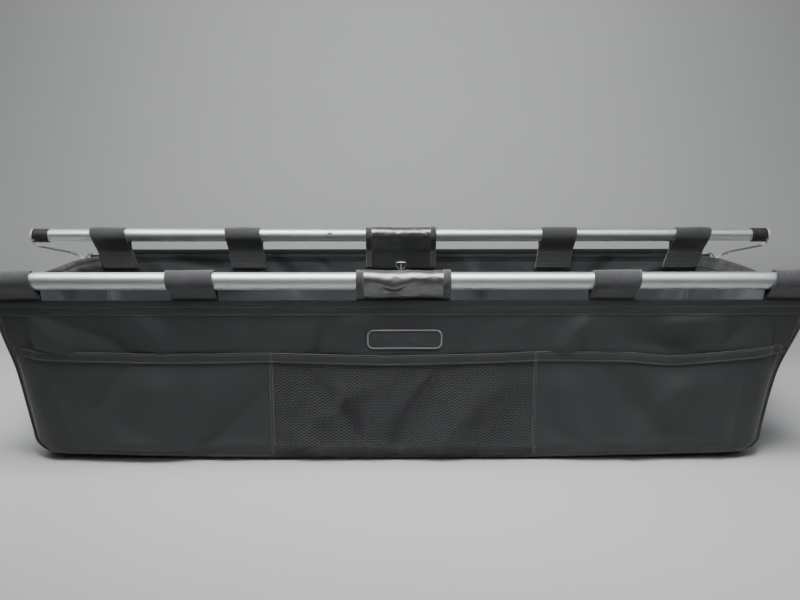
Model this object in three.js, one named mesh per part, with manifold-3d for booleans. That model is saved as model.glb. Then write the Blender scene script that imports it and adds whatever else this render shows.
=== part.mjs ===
// A pickup bed cargo bar set: two telescoping cross bars that carry a fabric sling between them.
// Millimetres, +X along the bars, +Y towards the cab, +Z up. The origin is the middle of the sling's
// underside, where it meets the bed floor.
import * as THREE from 'three';
import { mergeVertices } from 'three/addons/utils/BufferGeometryUtils.js';
import Module from 'manifold-3d';

const wasm = await Module();
wasm.setup();

// Driving dimensions
const GAP = 0.3; // between pieces that touch
const BAR_SPACING = 508; // 20 in between the bars
const BAR_HEIGHT = 305; // 12 in from the floor to the bar axes
const BAR_LENGTH = 1600; // over the end pads, at rest
const CENTRE_TUBE = { radius: 14.3, wall: 1.2, halfLength: 630 };
const END_TUBE = { radius: 12.7, wall: 1.6, innerEnd: 340 };
const ROUND_STEPS = 24;

const PAD_THICKNESS = 3.7;
const CAP_END = BAR_LENGTH / 2 - PAD_THICKNESS - GAP;
const CAP_WALL = 3.7;
const CAP_LENGTH = 34;
const CAP_RADIUS = 15;
const TUBE_END = CAP_END - CAP_WALL - GAP;

const CAM_OFFSET = 1;
const CAM_JOURNAL_RADIUS = 8;
const CAM_RING = { length: 19.4, inner: 9.4, outer: 12.5 };

const SEAT = { innerEnd: 142, outerEnd: 166 };
const RIVET_ANGLE = THREE.MathUtils.degToRad(35); // above the horizontal, on the side facing -Y
const SPRING = { turns: 9, radius: 8.5, wire: 1.8 };

const SLING_HEIGHT = 274;
const HALF_TOP = 660; // half length of the sling along X at its hem
const HALF_FOOT = 598; // and at its base
const CLOTH = 3;
const WALL_FACE = BAR_SPACING / 2; // inner faces of the front and rear walls
const POCKET = { top: 174, foot: 8, seam: 217, skin: 2, depth: 5.7, border: 6 };
const PATCH = { width: 120, height: 30, thickness: 1.6, centreX: 2, centreZ: 209, corner: 9 };

const WEBBING = 2.2;
const STRAP_WIDTH = 76.2; // 3 in
const WRAP_WIDTH = 152.4; // 6 in
const STRAP_INNER = 15.5;
const WRAP_SKIN = 2.6;
const TAIL_TOP = -30.5; // where the two layers of a loop meet, from the bar axis: just over the hem
const TAIL_FOOT = -71; // sewn end of the tail
const STRAPS = [
  { name: 'mid', x: 341.5, lean: 10 },
  { name: 'end', x: 631, lean: 20 },
];

const DIVIDER = { thickness: 3, halfWidth: 246, foot: 4, top: 244 };
const DIVIDER_RING = { halfWidth: 11, depth: 15, wire: 2.6, y: 244, z: 247, hole: 4.2 };

const TAB = { innerEnd: 625, height: 19, z: 252, y: 259, eye: 674.5, eyeRadius: 4.4, bore: 2.8 };
const CORNER_RING = { halfWidth: 12.5, depth: 13, wire: 3 };
const HOOK_WIRE = 1.5;
const HOOK_STEPS = 16;
const CORD = { radius: 2.25, sides: 8, steps: 6 };
// The tie's own points, on the +X side: ends of the two gripping coils
const TIE = {
  ringApex: new THREE.Vector3(687.5, 259, 252),
  coilStart: new THREE.Vector3(702, 256.4, 260.6),
  coilEnd: new THREE.Vector3(717, 253, 268),
  outerCoilStart: new THREE.Vector3(774, 237, 283.5),
  outerCoilEnd: new THREE.Vector3(782, 234.8, 285.8),
};

// Materials
function finish(color, roughness, metalness) {
  return new THREE.MeshStandardMaterial({ color, roughness, metalness });
}
const ALUMINIUM = finish(0xc6c9cb, 0.32, 1);
const STEEL = finish(0xb4b8ba, 0.35, 1);
const SPRING_STEEL = finish(0x8f9396, 0.4, 1);
const NYLON = finish(0x222326, 0.55, 0);
const RUBBER = finish(0x151617, 0.75, 0);
const PAD_GREY = finish(0xd5d8d8, 0.6, 0);
const POLYESTER = finish(0x292b2e, 0.8, 0);
const MESH = finish(0x1d1f21, 0.8, 0);
const HOOK_LOOP = finish(0x33363a, 0.85, 0);
const VINYL = finish(0x45494d, 0.35, 0);
const PATCH_CLOTH = finish(0x17181a, 0.6, 0);
const SHOCK_CORD = finish(0x63676b, 0.8, 0);

function piece(name, geometry, material) {
  const mesh = new THREE.Mesh(geometry, material);
  mesh.name = name;
  return mesh;
}

// Joining and cutting
function solid(geometry) {
  const bare = geometry.clone();
  bare.deleteAttribute('normal');
  bare.deleteAttribute('uv');
  const merged = mergeVertices(bare, 1e-3);
  return new wasm.Manifold(new wasm.Mesh({
    numProp: 3,
    vertProperties: merged.attributes.position.array,
    triVerts: new Uint32Array(merged.index.array),
  }));
}

function geometryOf(manifold) {
  const mesh = manifold.getMesh();
  const geometry = new THREE.BufferGeometry();
  geometry.setAttribute('position', new THREE.BufferAttribute(mesh.vertProperties, 3));
  geometry.setIndex(new THREE.BufferAttribute(mesh.triVerts, 1));
  geometry.computeVertexNormals();
  return geometry;
}

function joined(...geometries) {
  return geometryOf(geometries.map(solid).reduce((whole, next) => whole.add(next)));
}

function cut(geometry, ...tools) {
  return geometryOf(tools.map(solid).reduce((whole, tool) => whole.subtract(tool), solid(geometry)));
}

// Shapes
// A solid turned about the X axis, from [x, radius] pairs
function turned(profile) {
  const points = profile.map(([x, radius]) => new THREE.Vector2(radius, x));
  return new THREE.LatheGeometry(points, ROUND_STEPS).rotateZ(-Math.PI / 2);
}

function sleeve(from, to, inner, outer) {
  return turned([[from, inner], [from, outer], [to, outer], [to, inner], [from, inner]]);
}

function rod(from, to, radius) {
  return turned([[from, 0], [from, radius], [to, radius], [to, 0]]);
}

// A YZ outline pushed along X, centred on the YZ plane
function across(shape, width) {
  const geometry = new THREE.ExtrudeGeometry(shape, { depth: width, bevelEnabled: false, curveSegments: 9 });
  return geometry.translate(0, 0, -width / 2).rotateX(Math.PI / 2).rotateZ(Math.PI / 2);
}

// An XZ outline pushed along Y, from one Y to another
function upright(shape, fromY, toY) {
  const depth = toY - fromY;
  const geometry = new THREE.ExtrudeGeometry(shape, { depth, bevelEnabled: false, curveSegments: 9 });
  return geometry.rotateX(Math.PI / 2).translate(0, toY, 0);
}

function outline(points) {
  return new THREE.Shape(points.map(([x, y]) => new THREE.Vector2(x, y)));
}

function disc(radius) {
  return new THREE.Shape().absarc(0, 0, radius, 0, 2 * Math.PI, false);
}

function swept(points, radius, sides, steps) {
  const section = new THREE.Shape(
    Array.from({ length: sides }, (_, i) => {
      const angle = 2 * Math.PI * (i + 0.5) / sides;
      return new THREE.Vector2(radius * Math.cos(angle), radius * Math.sin(angle));
    }),
  );
  const path = points instanceof THREE.Curve ? points : new THREE.CatmullRomCurve3(points);
  return new THREE.ExtrudeGeometry(section, { steps, bevelEnabled: false, extrudePath: path });
}

// Bars
function endCap() {
  const bore = END_TUBE.radius + GAP;
  return turned([
    [CAP_END - CAP_WALL, 0],
    [CAP_END - CAP_WALL, bore],
    [CAP_END - CAP_LENGTH, bore],
    [CAP_END - CAP_LENGTH, CAP_RADIUS - 0.6],
    [CAP_END - CAP_LENGTH + 1, CAP_RADIUS],
    [CAP_END - 2, CAP_RADIUS],
    [CAP_END, CAP_RADIUS - 1.6],
    [CAP_END, 0],
  ]);
}

function endTube() {
  return sleeve(END_TUBE.innerEnd, TUBE_END, END_TUBE.radius - END_TUBE.wall, END_TUBE.radius);
}

function addEnd(group, name) {
  group.add(
    piece(`${name}_tube`, endTube(), ALUMINIUM),
    piece(`${name}_end_cap`, endCap(), RUBBER),
    piece(`${name}_end_pad`, rod(CAP_END + GAP, BAR_LENGTH / 2, CAP_RADIUS - 1.4), PAD_GREY),
  );
}

// The hub pressed into the lock tube: plug, flange, eccentric journal, retaining flange
function camHub() {
  const plugRadius = END_TUBE.radius - END_TUBE.wall - 0.5;
  const tubeFlange = END_TUBE.innerEnd - GAP;
  const journalStart = tubeFlange - 3;
  const journalEnd = journalStart - CAM_RING.length - 2 * GAP;
  const journal = rod(journalEnd - 1, journalStart + 1, CAM_JOURNAL_RADIUS).translate(0, 0, CAM_OFFSET);
  return joined(
    rod(journalStart, tubeFlange, END_TUBE.radius - 0.2),
    rod(journalStart + 1, END_TUBE.innerEnd + 25, plugRadius),
    journal,
    rod(journalEnd - 3, journalEnd, END_TUBE.radius - 0.2),
  );
}

// The split ring that the eccentric journal wedges against the centre tube's bore
function camRing() {
  const slit = THREE.MathUtils.degToRad(14);
  const shape = new THREE.Shape();
  shape.absarc(0, 0, CAM_RING.outer, slit, 2 * Math.PI - slit, false);
  shape.absarc(0, 0, CAM_RING.inner, 2 * Math.PI - slit, slit, true);
  shape.closePath();
  return across(shape, CAM_RING.length).translate(
    END_TUBE.innerEnd - 2 * GAP - 3 - CAM_RING.length / 2, 0, 0,
  );
}

function rivetDirected(geometry) {
  const direction = new THREE.Vector3(0, -Math.cos(RIVET_ANGLE), Math.sin(RIVET_ANGLE));
  const turn = new THREE.Quaternion().setFromUnitVectors(new THREE.Vector3(1, 0, 0), direction);
  return geometry.applyQuaternion(turn).translate(-(SEAT.innerEnd + SEAT.outerEnd) / 2, 0, 0);
}

class Helix extends THREE.Curve {
  getPoint(t) {
    const angle = 2 * Math.PI * SPRING.turns * t;
    const from = -(SEAT.outerEnd + GAP + SPRING.wire);
    const to = -(END_TUBE.innerEnd - GAP - 3 - GAP - SPRING.wire);
    return new THREE.Vector3(
      THREE.MathUtils.lerp(from, to, t),
      SPRING.radius * Math.cos(angle),
      SPRING.radius * Math.sin(angle),
    );
  }
}

function addBar(parent, name) {
  const bar = new THREE.Group();
  parent.add(bar);
  const { radius, wall, halfLength } = CENTRE_TUBE;
  const rivetHole = rivetDirected(rod(9.4, radius + 3, 2.8));
  bar.add(piece(
    `${name}_centre_tube`,
    cut(sleeve(-halfLength, halfLength, radius - wall, radius), rivetHole),
    ALUMINIUM,
  ));

  const lockEnd = new THREE.Group();
  bar.add(lockEnd);
  addEnd(lockEnd, `${name}_lock`);
  lockEnd.add(
    piece(`${name}_cam_hub`, camHub(), NYLON),
    piece(`${name}_cam_ring`, camRing(), NYLON),
  );

  const springEnd = new THREE.Group();
  springEnd.rotation.z = Math.PI;
  bar.add(springEnd);
  addEnd(springEnd, `${name}_spring`);
  const plug = joined(
    rod(END_TUBE.innerEnd - GAP - 3, END_TUBE.innerEnd - GAP, END_TUBE.radius - 0.2),
    rod(END_TUBE.innerEnd - 1, END_TUBE.innerEnd + 25, END_TUBE.radius - END_TUBE.wall - 0.5),
  );
  springEnd.add(piece(`${name}_spring_plug`, plug, NYLON));

  const seat = rod(-SEAT.outerEnd, -SEAT.innerEnd, radius - wall - 0.5);
  const shank = [[9.7, 0], [9.7, 2.4], [radius + GAP, 2.4]];
  const head = [[radius + GAP, 4.5], [radius + 1.1, 4.2], [radius + 1.7, 2.4], [radius + 1.8, 0]];
  bar.add(
    piece(`${name}_spring_seat`, cut(seat, rivetHole), NYLON),
    piece(`${name}_seat_rivet`, rivetDirected(turned([...shank, ...head])), STEEL),
    piece(`${name}_push_spring`, swept(new Helix(), SPRING.wire / 2, 6, SPRING.turns * 8), SPRING_STEEL),
  );
  return bar;
}

// Loops: hook-and-loop webbing that goes over the bar, both layers coming together on the wall's inner
// face. Local frame: the bar axis is the origin, +Y is the inside of the sling.
function tangentAngle(y, z, radius, side) {
  return Math.atan2(z, y) + side * Math.acos(radius / Math.hypot(y, z));
}

function loopShape(inner, skin) {
  const outer = inner + skin;
  const wallSide = GAP;
  const baySide = GAP + 2 * WEBBING;
  const shape = new THREE.Shape();
  shape.moveTo(baySide, TAIL_FOOT);
  shape.lineTo(baySide, TAIL_TOP);
  const bayTangent = tangentAngle(baySide, TAIL_TOP, outer, 1);
  const wallTangent = tangentAngle(wallSide, TAIL_TOP, outer, -1);
  shape.absarc(0, 0, outer, bayTangent, wallTangent, false);
  shape.lineTo(wallSide, TAIL_TOP);
  shape.lineTo(wallSide, TAIL_FOOT);
  shape.closePath();
  // the eye round the bar ends in a point where the layers meet
  const middle = (wallSide + baySide) / 2;
  const meeting = TAIL_TOP + 2;
  const hole = new THREE.Path();
  hole.absarc(
    0, 0, inner,
    tangentAngle(middle, meeting, inner, 1),
    tangentAngle(middle, meeting, inner, -1),
    false,
  );
  hole.lineTo(middle, meeting);
  hole.closePath();
  shape.holes.push(hole);
  return shape;
}

function loop(width, skin, x, lean) {
  const geometry = across(loopShape(STRAP_INNER, skin), width);
  const slope = Math.sign(x) * lean / -TAIL_FOOT;
  const shear = new THREE.Matrix4().set(1, 0, slope, x, 0, 1, 0, 0, 0, 0, 1, 0, 0, 0, 0, 1);
  return geometry.applyMatrix4(shear);
}

function addLoops(parent, name, rightSide) {
  for (const side of [-1, 1]) {
    const hand = side === rightSide ? 'right' : 'left';
    for (const strap of STRAPS) {
      parent.add(piece(
        `${name}_${hand}_${strap.name}_strap`,
        loop(STRAP_WIDTH, WEBBING, side * strap.x, strap.lean),
        HOOK_LOOP,
      ));
    }
  }
  parent.add(piece(`${name}_centre_wrap`, loop(WRAP_WIDTH, WRAP_SKIN, 0, 0), VINYL));
}

// Sling
function halfLengthAt(z) {
  return HALF_FOOT + (HALF_TOP - HALF_FOOT) * z / SLING_HEIGHT;
}

function wallShape() {
  return outline([
    [-HALF_FOOT, 0], [HALF_FOOT, 0], [HALF_TOP, SLING_HEIGHT], [-HALF_TOP, SLING_HEIGHT],
  ]);
}

function endWall(side) {
  const shape = outline([
    [side * (HALF_FOOT - CLOTH), 0],
    [side * HALF_FOOT, 0],
    [side * HALF_TOP, SLING_HEIGHT],
    [side * (HALF_TOP - CLOTH), SLING_HEIGHT],
  ]);
  const reach = WALL_FACE - 2 * (GAP + WEBBING); // stops short of the loops' tails
  return upright(shape, -reach, reach);
}

// An open-topped, open-backed pocket between two X edges, each given as a function of height
function pocket(leftEdge, rightEdge) {
  const { top, foot, skin, depth, border } = POCKET;
  const front = -(WALL_FACE + CLOTH + GAP);
  const corners = (inset, low, high) => outline([
    [leftEdge(low) + inset, low], [rightEdge(low) - inset, low],
    [rightEdge(high) - inset, high], [leftEdge(high) + inset, high],
  ]);
  return cut(
    upright(corners(0, foot, top), front - depth - skin, front),
    upright(corners(border, foot + border, top + 10), front - depth, front + 10),
  );
}

function addPockets(parent) {
  const outerEdge = z => halfLengthAt(z) - 4;
  const { seam } = POCKET;
  parent.add(
    piece('left_pocket', pocket(z => -outerEdge(z), () => -seam - GAP), POLYESTER),
    piece('mesh_pocket', pocket(() => -seam, () => seam), MESH),
    piece('right_pocket', pocket(() => seam + GAP, outerEdge), POLYESTER),
  );
}

function patch() {
  const { width, height, thickness, corner, centreX, centreZ } = PATCH;
  const x = width / 2;
  const z = height / 2;
  const shape = new THREE.Shape();
  shape.absarc(x - corner, z - corner, corner, 0, Math.PI / 2, false);
  shape.absarc(corner - x, z - corner, corner, Math.PI / 2, Math.PI, false);
  shape.absarc(corner - x, corner - z, corner, Math.PI, 1.5 * Math.PI, false);
  shape.absarc(x - corner, corner - z, corner, 1.5 * Math.PI, 2 * Math.PI, false);
  const face = -(WALL_FACE + CLOTH + GAP);
  return upright(shape, face - thickness, face).translate(centreX, 0, centreZ);
}

function divider() {
  const { halfWidth, foot, top, thickness } = DIVIDER;
  const shape = outline([[-halfWidth, foot], [halfWidth, foot], [halfWidth, top], [-halfWidth, top]]);
  for (const side of [-1, 1]) {
    const hole = new THREE.Path();
    const { y, z, depth } = DIVIDER_RING;
    // the ring hangs through this eyelet, its lowest point in the middle of the hole
    hole.absarc(side * (y - 3), z - depth, DIVIDER_RING.hole, 0, 2 * Math.PI, false);
    shape.holes.push(hole);
  }
  return across(shape, thickness);
}

// A flat D ring in its own XY plane: the straight bar lies along Y at x = 0, the bow reaches +X
function dRing({ halfWidth, depth, wire }) {
  const half = wire / 2;
  const shape = new THREE.Shape();
  shape.moveTo(-half, -halfWidth - half);
  shape.lineTo(0, -halfWidth - half);
  shape.absellipse(0, 0, depth + half, halfWidth + half, -Math.PI / 2, Math.PI / 2, false, 0);
  shape.lineTo(-half, halfWidth + half);
  shape.closePath();
  const inner = new THREE.Path();
  inner.moveTo(half, half - halfWidth);
  inner.absellipse(half, 0, depth - wire, halfWidth - half, -Math.PI / 2, Math.PI / 2, false, 0);
  inner.closePath();
  shape.holes.push(inner);
  return shape;
}

function flatRing(size) {
  return new THREE.ExtrudeGeometry(dRing(size), { depth: size.wire, bevelEnabled: false, curveSegments: 9 })
    .translate(0, 0, -size.wire / 2);
}

// A divider ring hangs bow down, its plane parallel to the bars
function dividerRing(side) {
  const { y, z } = DIVIDER_RING;
  return flatRing(DIVIDER_RING).rotateZ(-Math.PI / 2).rotateX(Math.PI / 2).translate(0, side * (y - 3), z);
}

// Corner ties, built on the +X side and mirrored for the other
function tab() {
  const half = (TAB.y - WALL_FACE - CLOTH - GAP);
  const reach = Math.asin(half / TAB.eyeRadius);
  const shape = new THREE.Shape();
  shape.moveTo(TAB.innerEnd - TAB.eye, half);
  shape.lineTo(TAB.innerEnd - TAB.eye, -half);
  shape.absarc(0, 0, TAB.eyeRadius, Math.PI + reach, 3 * Math.PI - reach, false);
  shape.closePath();
  shape.holes.push(disc(TAB.bore));
  return new THREE.ExtrudeGeometry(shape, { depth: TAB.height, bevelEnabled: false, curveSegments: 9 })
    .translate(TAB.eye, TAB.y, TAB.z - TAB.height / 2);
}

function cornerRing() {
  return flatRing(CORNER_RING).rotateX(Math.PI / 2).translate(TAB.eye, TAB.y, TAB.z);
}

// The tapered coil of wire that grips the cord, between two points
function coil(from, to, startRadius, endRadius) {
  const along = new THREE.Vector3().subVectors(to, from);
  const turn = new THREE.Quaternion().setFromUnitVectors(
    new THREE.Vector3(0, 1, 0), along.clone().normalize(),
  );
  return new THREE.CylinderGeometry(endRadius, startRadius, along.length(), 12)
    .translate(0, along.length() / 2, 0)
    .applyQuaternion(turn)
    .translate(from.x, from.y, from.z);
}

function innerHook() {
  const { ringApex: apex, coilStart, coilEnd } = TIE;
  const bend = 4.2;
  const inside = new THREE.Vector3().lerpVectors(coilStart, coilEnd, 0.2);
  const route = [
    inside,
    new THREE.Vector3(apex.x + 7, apex.y - bend, apex.z + 3.6),
    new THREE.Vector3(apex.x, apex.y - bend, apex.z),
    new THREE.Vector3(apex.x - 0.7 * bend, apex.y - 0.7 * bend, apex.z - 1.4),
    new THREE.Vector3(apex.x - bend, apex.y, apex.z - 1.8),
    new THREE.Vector3(apex.x - 0.7 * bend, apex.y + 0.7 * bend, apex.z - 1.4),
    new THREE.Vector3(apex.x, apex.y + bend, apex.z),
    new THREE.Vector3(apex.x + 7, apex.y + bend + 0.6, apex.z + 3.6),
  ];
  return joined(coil(coilStart, coilEnd, 2.6, 4.2), swept(route, HOOK_WIRE, 6, HOOK_STEPS));
}

function outerHook() {
  const { outerCoilStart, outerCoilEnd } = TIE;
  const route = [
    new THREE.Vector3().lerpVectors(outerCoilStart, outerCoilEnd, 0.7),
    new THREE.Vector3(786, 233.6, 287.4),
    new THREE.Vector3(789, 232.6, 290.5),
    new THREE.Vector3(790, 232, 295),
    new THREE.Vector3(789.2, 231.6, 299.5),
  ];
  return joined(coil(outerCoilStart, outerCoilEnd, 3.6, 2.6), swept(route, HOOK_WIRE, 6, HOOK_STEPS));
}

function tieCord() {
  const { coilEnd, outerCoilStart } = TIE;
  const along = new THREE.Vector3().subVectors(outerCoilStart, coilEnd).normalize();
  const start = coilEnd.clone().addScaledVector(along, GAP + 0.2);
  const end = outerCoilStart.clone().addScaledVector(along, -GAP - 0.2);
  return swept(new THREE.LineCurve3(start, end), CORD.radius, CORD.sides, CORD.steps);
}

function addTie(parent, name) {
  parent.add(
    piece(`${name}_corner_tab`, tab(), HOOK_LOOP),
    piece(`${name}_corner_ring`, cornerRing(), STEEL),
    piece(`${name}_inner_hook`, innerHook(), STEEL),
    piece(`${name}_tie_cord`, tieCord(), SHOCK_CORD),
    piece(`${name}_outer_hook`, outerHook(), STEEL),
  );
}

// Assembly
const cargoBar = new THREE.Group();

const rearBar = addBar(cargoBar, 'rear');
rearBar.position.set(0, WALL_FACE, BAR_HEIGHT);
const frontBar = addBar(cargoBar, 'front'); // the same bar, turned end for end
frontBar.position.set(0, -WALL_FACE, BAR_HEIGHT);
frontBar.rotation.z = Math.PI;

const frontLoops = new THREE.Group();
frontLoops.position.set(0, -WALL_FACE, BAR_HEIGHT);
addLoops(frontLoops, 'front', 1);
const rearLoops = new THREE.Group();
rearLoops.position.set(0, WALL_FACE, BAR_HEIGHT);
rearLoops.rotation.z = Math.PI;
addLoops(rearLoops, 'rear', -1);
cargoBar.add(frontLoops, rearLoops);

const base = new THREE.BoxGeometry(2 * (HALF_FOOT - CLOTH - GAP), 2 * (WALL_FACE - GAP), CLOTH);
cargoBar.add(
  piece('front_wall', upright(wallShape(), -WALL_FACE - CLOTH, -WALL_FACE), POLYESTER),
  piece('rear_wall', upright(wallShape(), WALL_FACE, WALL_FACE + CLOTH), POLYESTER),
  piece('left_wall', endWall(-1), POLYESTER),
  piece('right_wall', endWall(1), POLYESTER),
  piece('base', base.translate(0, 0, CLOTH / 2), POLYESTER),
  piece('patch', patch(), PATCH_CLOTH),
  piece('divider', divider(), POLYESTER),
  piece('front_divider_ring', dividerRing(-1), STEEL),
  piece('rear_divider_ring', dividerRing(1), STEEL),
);
addPockets(cargoBar);

const rightTie = new THREE.Group();
addTie(rightTie, 'right');
const leftTie = new THREE.Group();
leftTie.scale.x = -1;
addTie(leftTie, 'left');
cargoBar.add(rightTie, leftTie);

export default cargoBar;
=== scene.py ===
"""The visible model of a pickup bed cargo bar set.

Two telescoping bars carry a fabric sling between them.

Every size is in metres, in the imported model's frame: +X along the bars, +Y towards the cab, +Z up.
"""

import math

import bmesh
import bpy
import numpy as np
from bpy.props import FloatProperty, FloatVectorProperty, IntProperty, PointerProperty
from mathutils import Euler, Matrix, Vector, noise


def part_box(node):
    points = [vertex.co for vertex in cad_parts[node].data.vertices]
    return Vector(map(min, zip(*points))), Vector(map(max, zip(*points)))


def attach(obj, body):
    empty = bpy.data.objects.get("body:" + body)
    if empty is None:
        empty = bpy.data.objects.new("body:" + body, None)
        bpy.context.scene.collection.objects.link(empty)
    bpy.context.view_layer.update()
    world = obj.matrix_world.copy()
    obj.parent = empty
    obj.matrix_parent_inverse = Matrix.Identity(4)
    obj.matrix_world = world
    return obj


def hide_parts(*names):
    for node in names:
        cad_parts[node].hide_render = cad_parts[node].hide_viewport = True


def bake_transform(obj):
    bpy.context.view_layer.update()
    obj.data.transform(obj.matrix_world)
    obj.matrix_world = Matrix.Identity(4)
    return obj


bl_info = {
    "name": "Cargo Bar Sling",
    "version": (1, 0, 0),
    "blender": (4, 5, 0),
    "location": "3D View > Sidebar > Cargo Bar",
    "description": "Builds the bars, sling, pockets and corner ties of a bed cargo bar set",
    "category": "Object",
}

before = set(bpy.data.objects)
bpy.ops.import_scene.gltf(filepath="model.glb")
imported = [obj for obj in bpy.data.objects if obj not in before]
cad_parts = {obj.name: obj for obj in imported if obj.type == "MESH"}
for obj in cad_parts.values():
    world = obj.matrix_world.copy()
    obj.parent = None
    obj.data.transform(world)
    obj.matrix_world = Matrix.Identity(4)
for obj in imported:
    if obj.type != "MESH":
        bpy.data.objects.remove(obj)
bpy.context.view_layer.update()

MM = 0.001
SLING = "sling"
ENDS = (("rear", 1), ("front", -1))


# ---------------------------------------------------------------------------------------------
# Measures taken from the frame


def middle(node):
    """The centre of a CAD node's box."""
    low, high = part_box(node)
    return (low + high) / 2


def size(node):
    """The size of a CAD node's box."""
    low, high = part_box(node)
    return high - low


BAR_Z = middle("rear_centre_tube").z
BAR_Y = middle("rear_centre_tube").y
HEM_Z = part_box("front_wall")[1].z
HALF_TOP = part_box("front_wall")[1].x
HALF_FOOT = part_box("base")[1].x + 3.3 * MM
WALL_MID = abs(middle("front_wall").y)
POCKET_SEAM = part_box("mesh_pocket")[1].x
TAIL_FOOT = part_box("front_centre_wrap")[0].z - BAR_Z
LOOP_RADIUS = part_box("front_left_mid_strap")[1].z - BAR_Z
STRAP_WIDTH = 76.2 * MM
WRAP_WIDTH = size("front_centre_wrap").x


# ---------------------------------------------------------------------------------------------
# What a user would change


class FabricSettings(bpy.types.PropertyGroup):
    """Cloth of the sling and its pockets."""

    colour: FloatVectorProperty(
        name="Cloth colour", description="Outer side of the sling", subtype="COLOR",
        size=3, min=0, max=1, default=(0.0205, 0.0225, 0.0238),
    )
    lining: FloatVectorProperty(
        name="Lining colour", description="Coated inner side of the sling", subtype="COLOR",
        size=3, min=0, max=1, default=(0.072, 0.0765, 0.081),
    )
    thickness: FloatProperty(
        name="Thickness", description="Thickness of the coated cloth", subtype="DISTANCE",
        unit="LENGTH", min=0.0005, max=0.003, default=1.6 * MM,
    )
    weave: FloatProperty(
        name="Weave pitch", description="Distance from one thread to the next", subtype="DISTANCE",
        unit="LENGTH", min=0.0003, max=0.004, default=1.1 * MM,
    )
    slack: FloatProperty(
        name="Slack", description="How far the walls' soft folds stand out", subtype="DISTANCE",
        unit="LENGTH", min=0, max=0.015, default=8 * MM,
    )
    grid: FloatProperty(
        name="Grid", description="Spacing of the sling's mesh", subtype="DISTANCE",
        unit="LENGTH", min=0.003, max=0.05, default=7 * MM,
    )


class WebbingSettings(bpy.types.PropertyGroup):
    """Loops, hems, binding and thread."""

    colour: FloatVectorProperty(
        name="Webbing colour", description="Hook-and-loop webbing", subtype="COLOR",
        size=3, min=0, max=1, default=(0.026, 0.0278, 0.03),
    )
    vinyl: FloatVectorProperty(
        name="Vinyl colour", description="Smooth centre wraps", subtype="COLOR",
        size=3, min=0, max=1, default=(0.027, 0.0285, 0.03),
    )
    thread: FloatVectorProperty(
        name="Thread colour", description="Stitching", subtype="COLOR",
        size=3, min=0, max=1, default=(0.12, 0.125, 0.13),
    )
    stitch: FloatProperty(
        name="Stitch pitch", description="Distance from one stitch to the next", subtype="DISTANCE",
        unit="LENGTH", min=0.002, max=0.01, default=4.2 * MM,
    )


class NetSettings(bpy.types.PropertyGroup):
    """The knitted net of the middle pocket."""

    cell_width: FloatProperty(
        name="Cell width", description="Width of one net opening", subtype="DISTANCE",
        unit="LENGTH", min=0.003, max=0.02, default=9 * MM,
    )
    cell_height: FloatProperty(
        name="Cell height", description="Distance from one row of knots to the next",
        subtype="DISTANCE", unit="LENGTH", min=0.0015, max=0.02, default=2.6 * MM,
    )
    strand: FloatProperty(
        name="Strand", description="Half thickness of a net strand", subtype="DISTANCE",
        unit="LENGTH", min=0.0002, max=0.002, default=0.48 * MM,
    )


class BarSettings(bpy.types.PropertyGroup):
    """Metal and moulded parts of the bars."""

    metal: FloatVectorProperty(
        name="Tube colour", description="Satin anodised tubes", subtype="COLOR",
        size=3, min=0, max=1, default=(0.55, 0.572, 0.58),
    )
    rubber: FloatVectorProperty(
        name="Cap colour", description="Moulded end caps", subtype="COLOR",
        size=3, min=0, max=1, default=(0.018, 0.018, 0.019),
    )
    sides: IntProperty(
        name="Tube sides", description="Facets round a tube", min=24, max=128, default=64,
    )


# ---------------------------------------------------------------------------------------------
# Shader maths


class Signal:
    """A shader socket that Python's operators turn into Math nodes."""

    def __init__(self, finish, socket):
        self.finish = finish
        self.socket = socket

    def math(self, operation, *others):
        return self.finish.node(
            "ShaderNodeMath", {"operation": operation}, dict(enumerate((self, *others)))
        )

    def __add__(self, other):
        return self.math("ADD", other)

    __radd__ = __add__

    def __mul__(self, other):
        return self.math("MULTIPLY", other)

    __rmul__ = __mul__

    def __sub__(self, other):
        return self.math("SUBTRACT", other)

    def __rsub__(self, other):
        return (self * -1) + other


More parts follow.
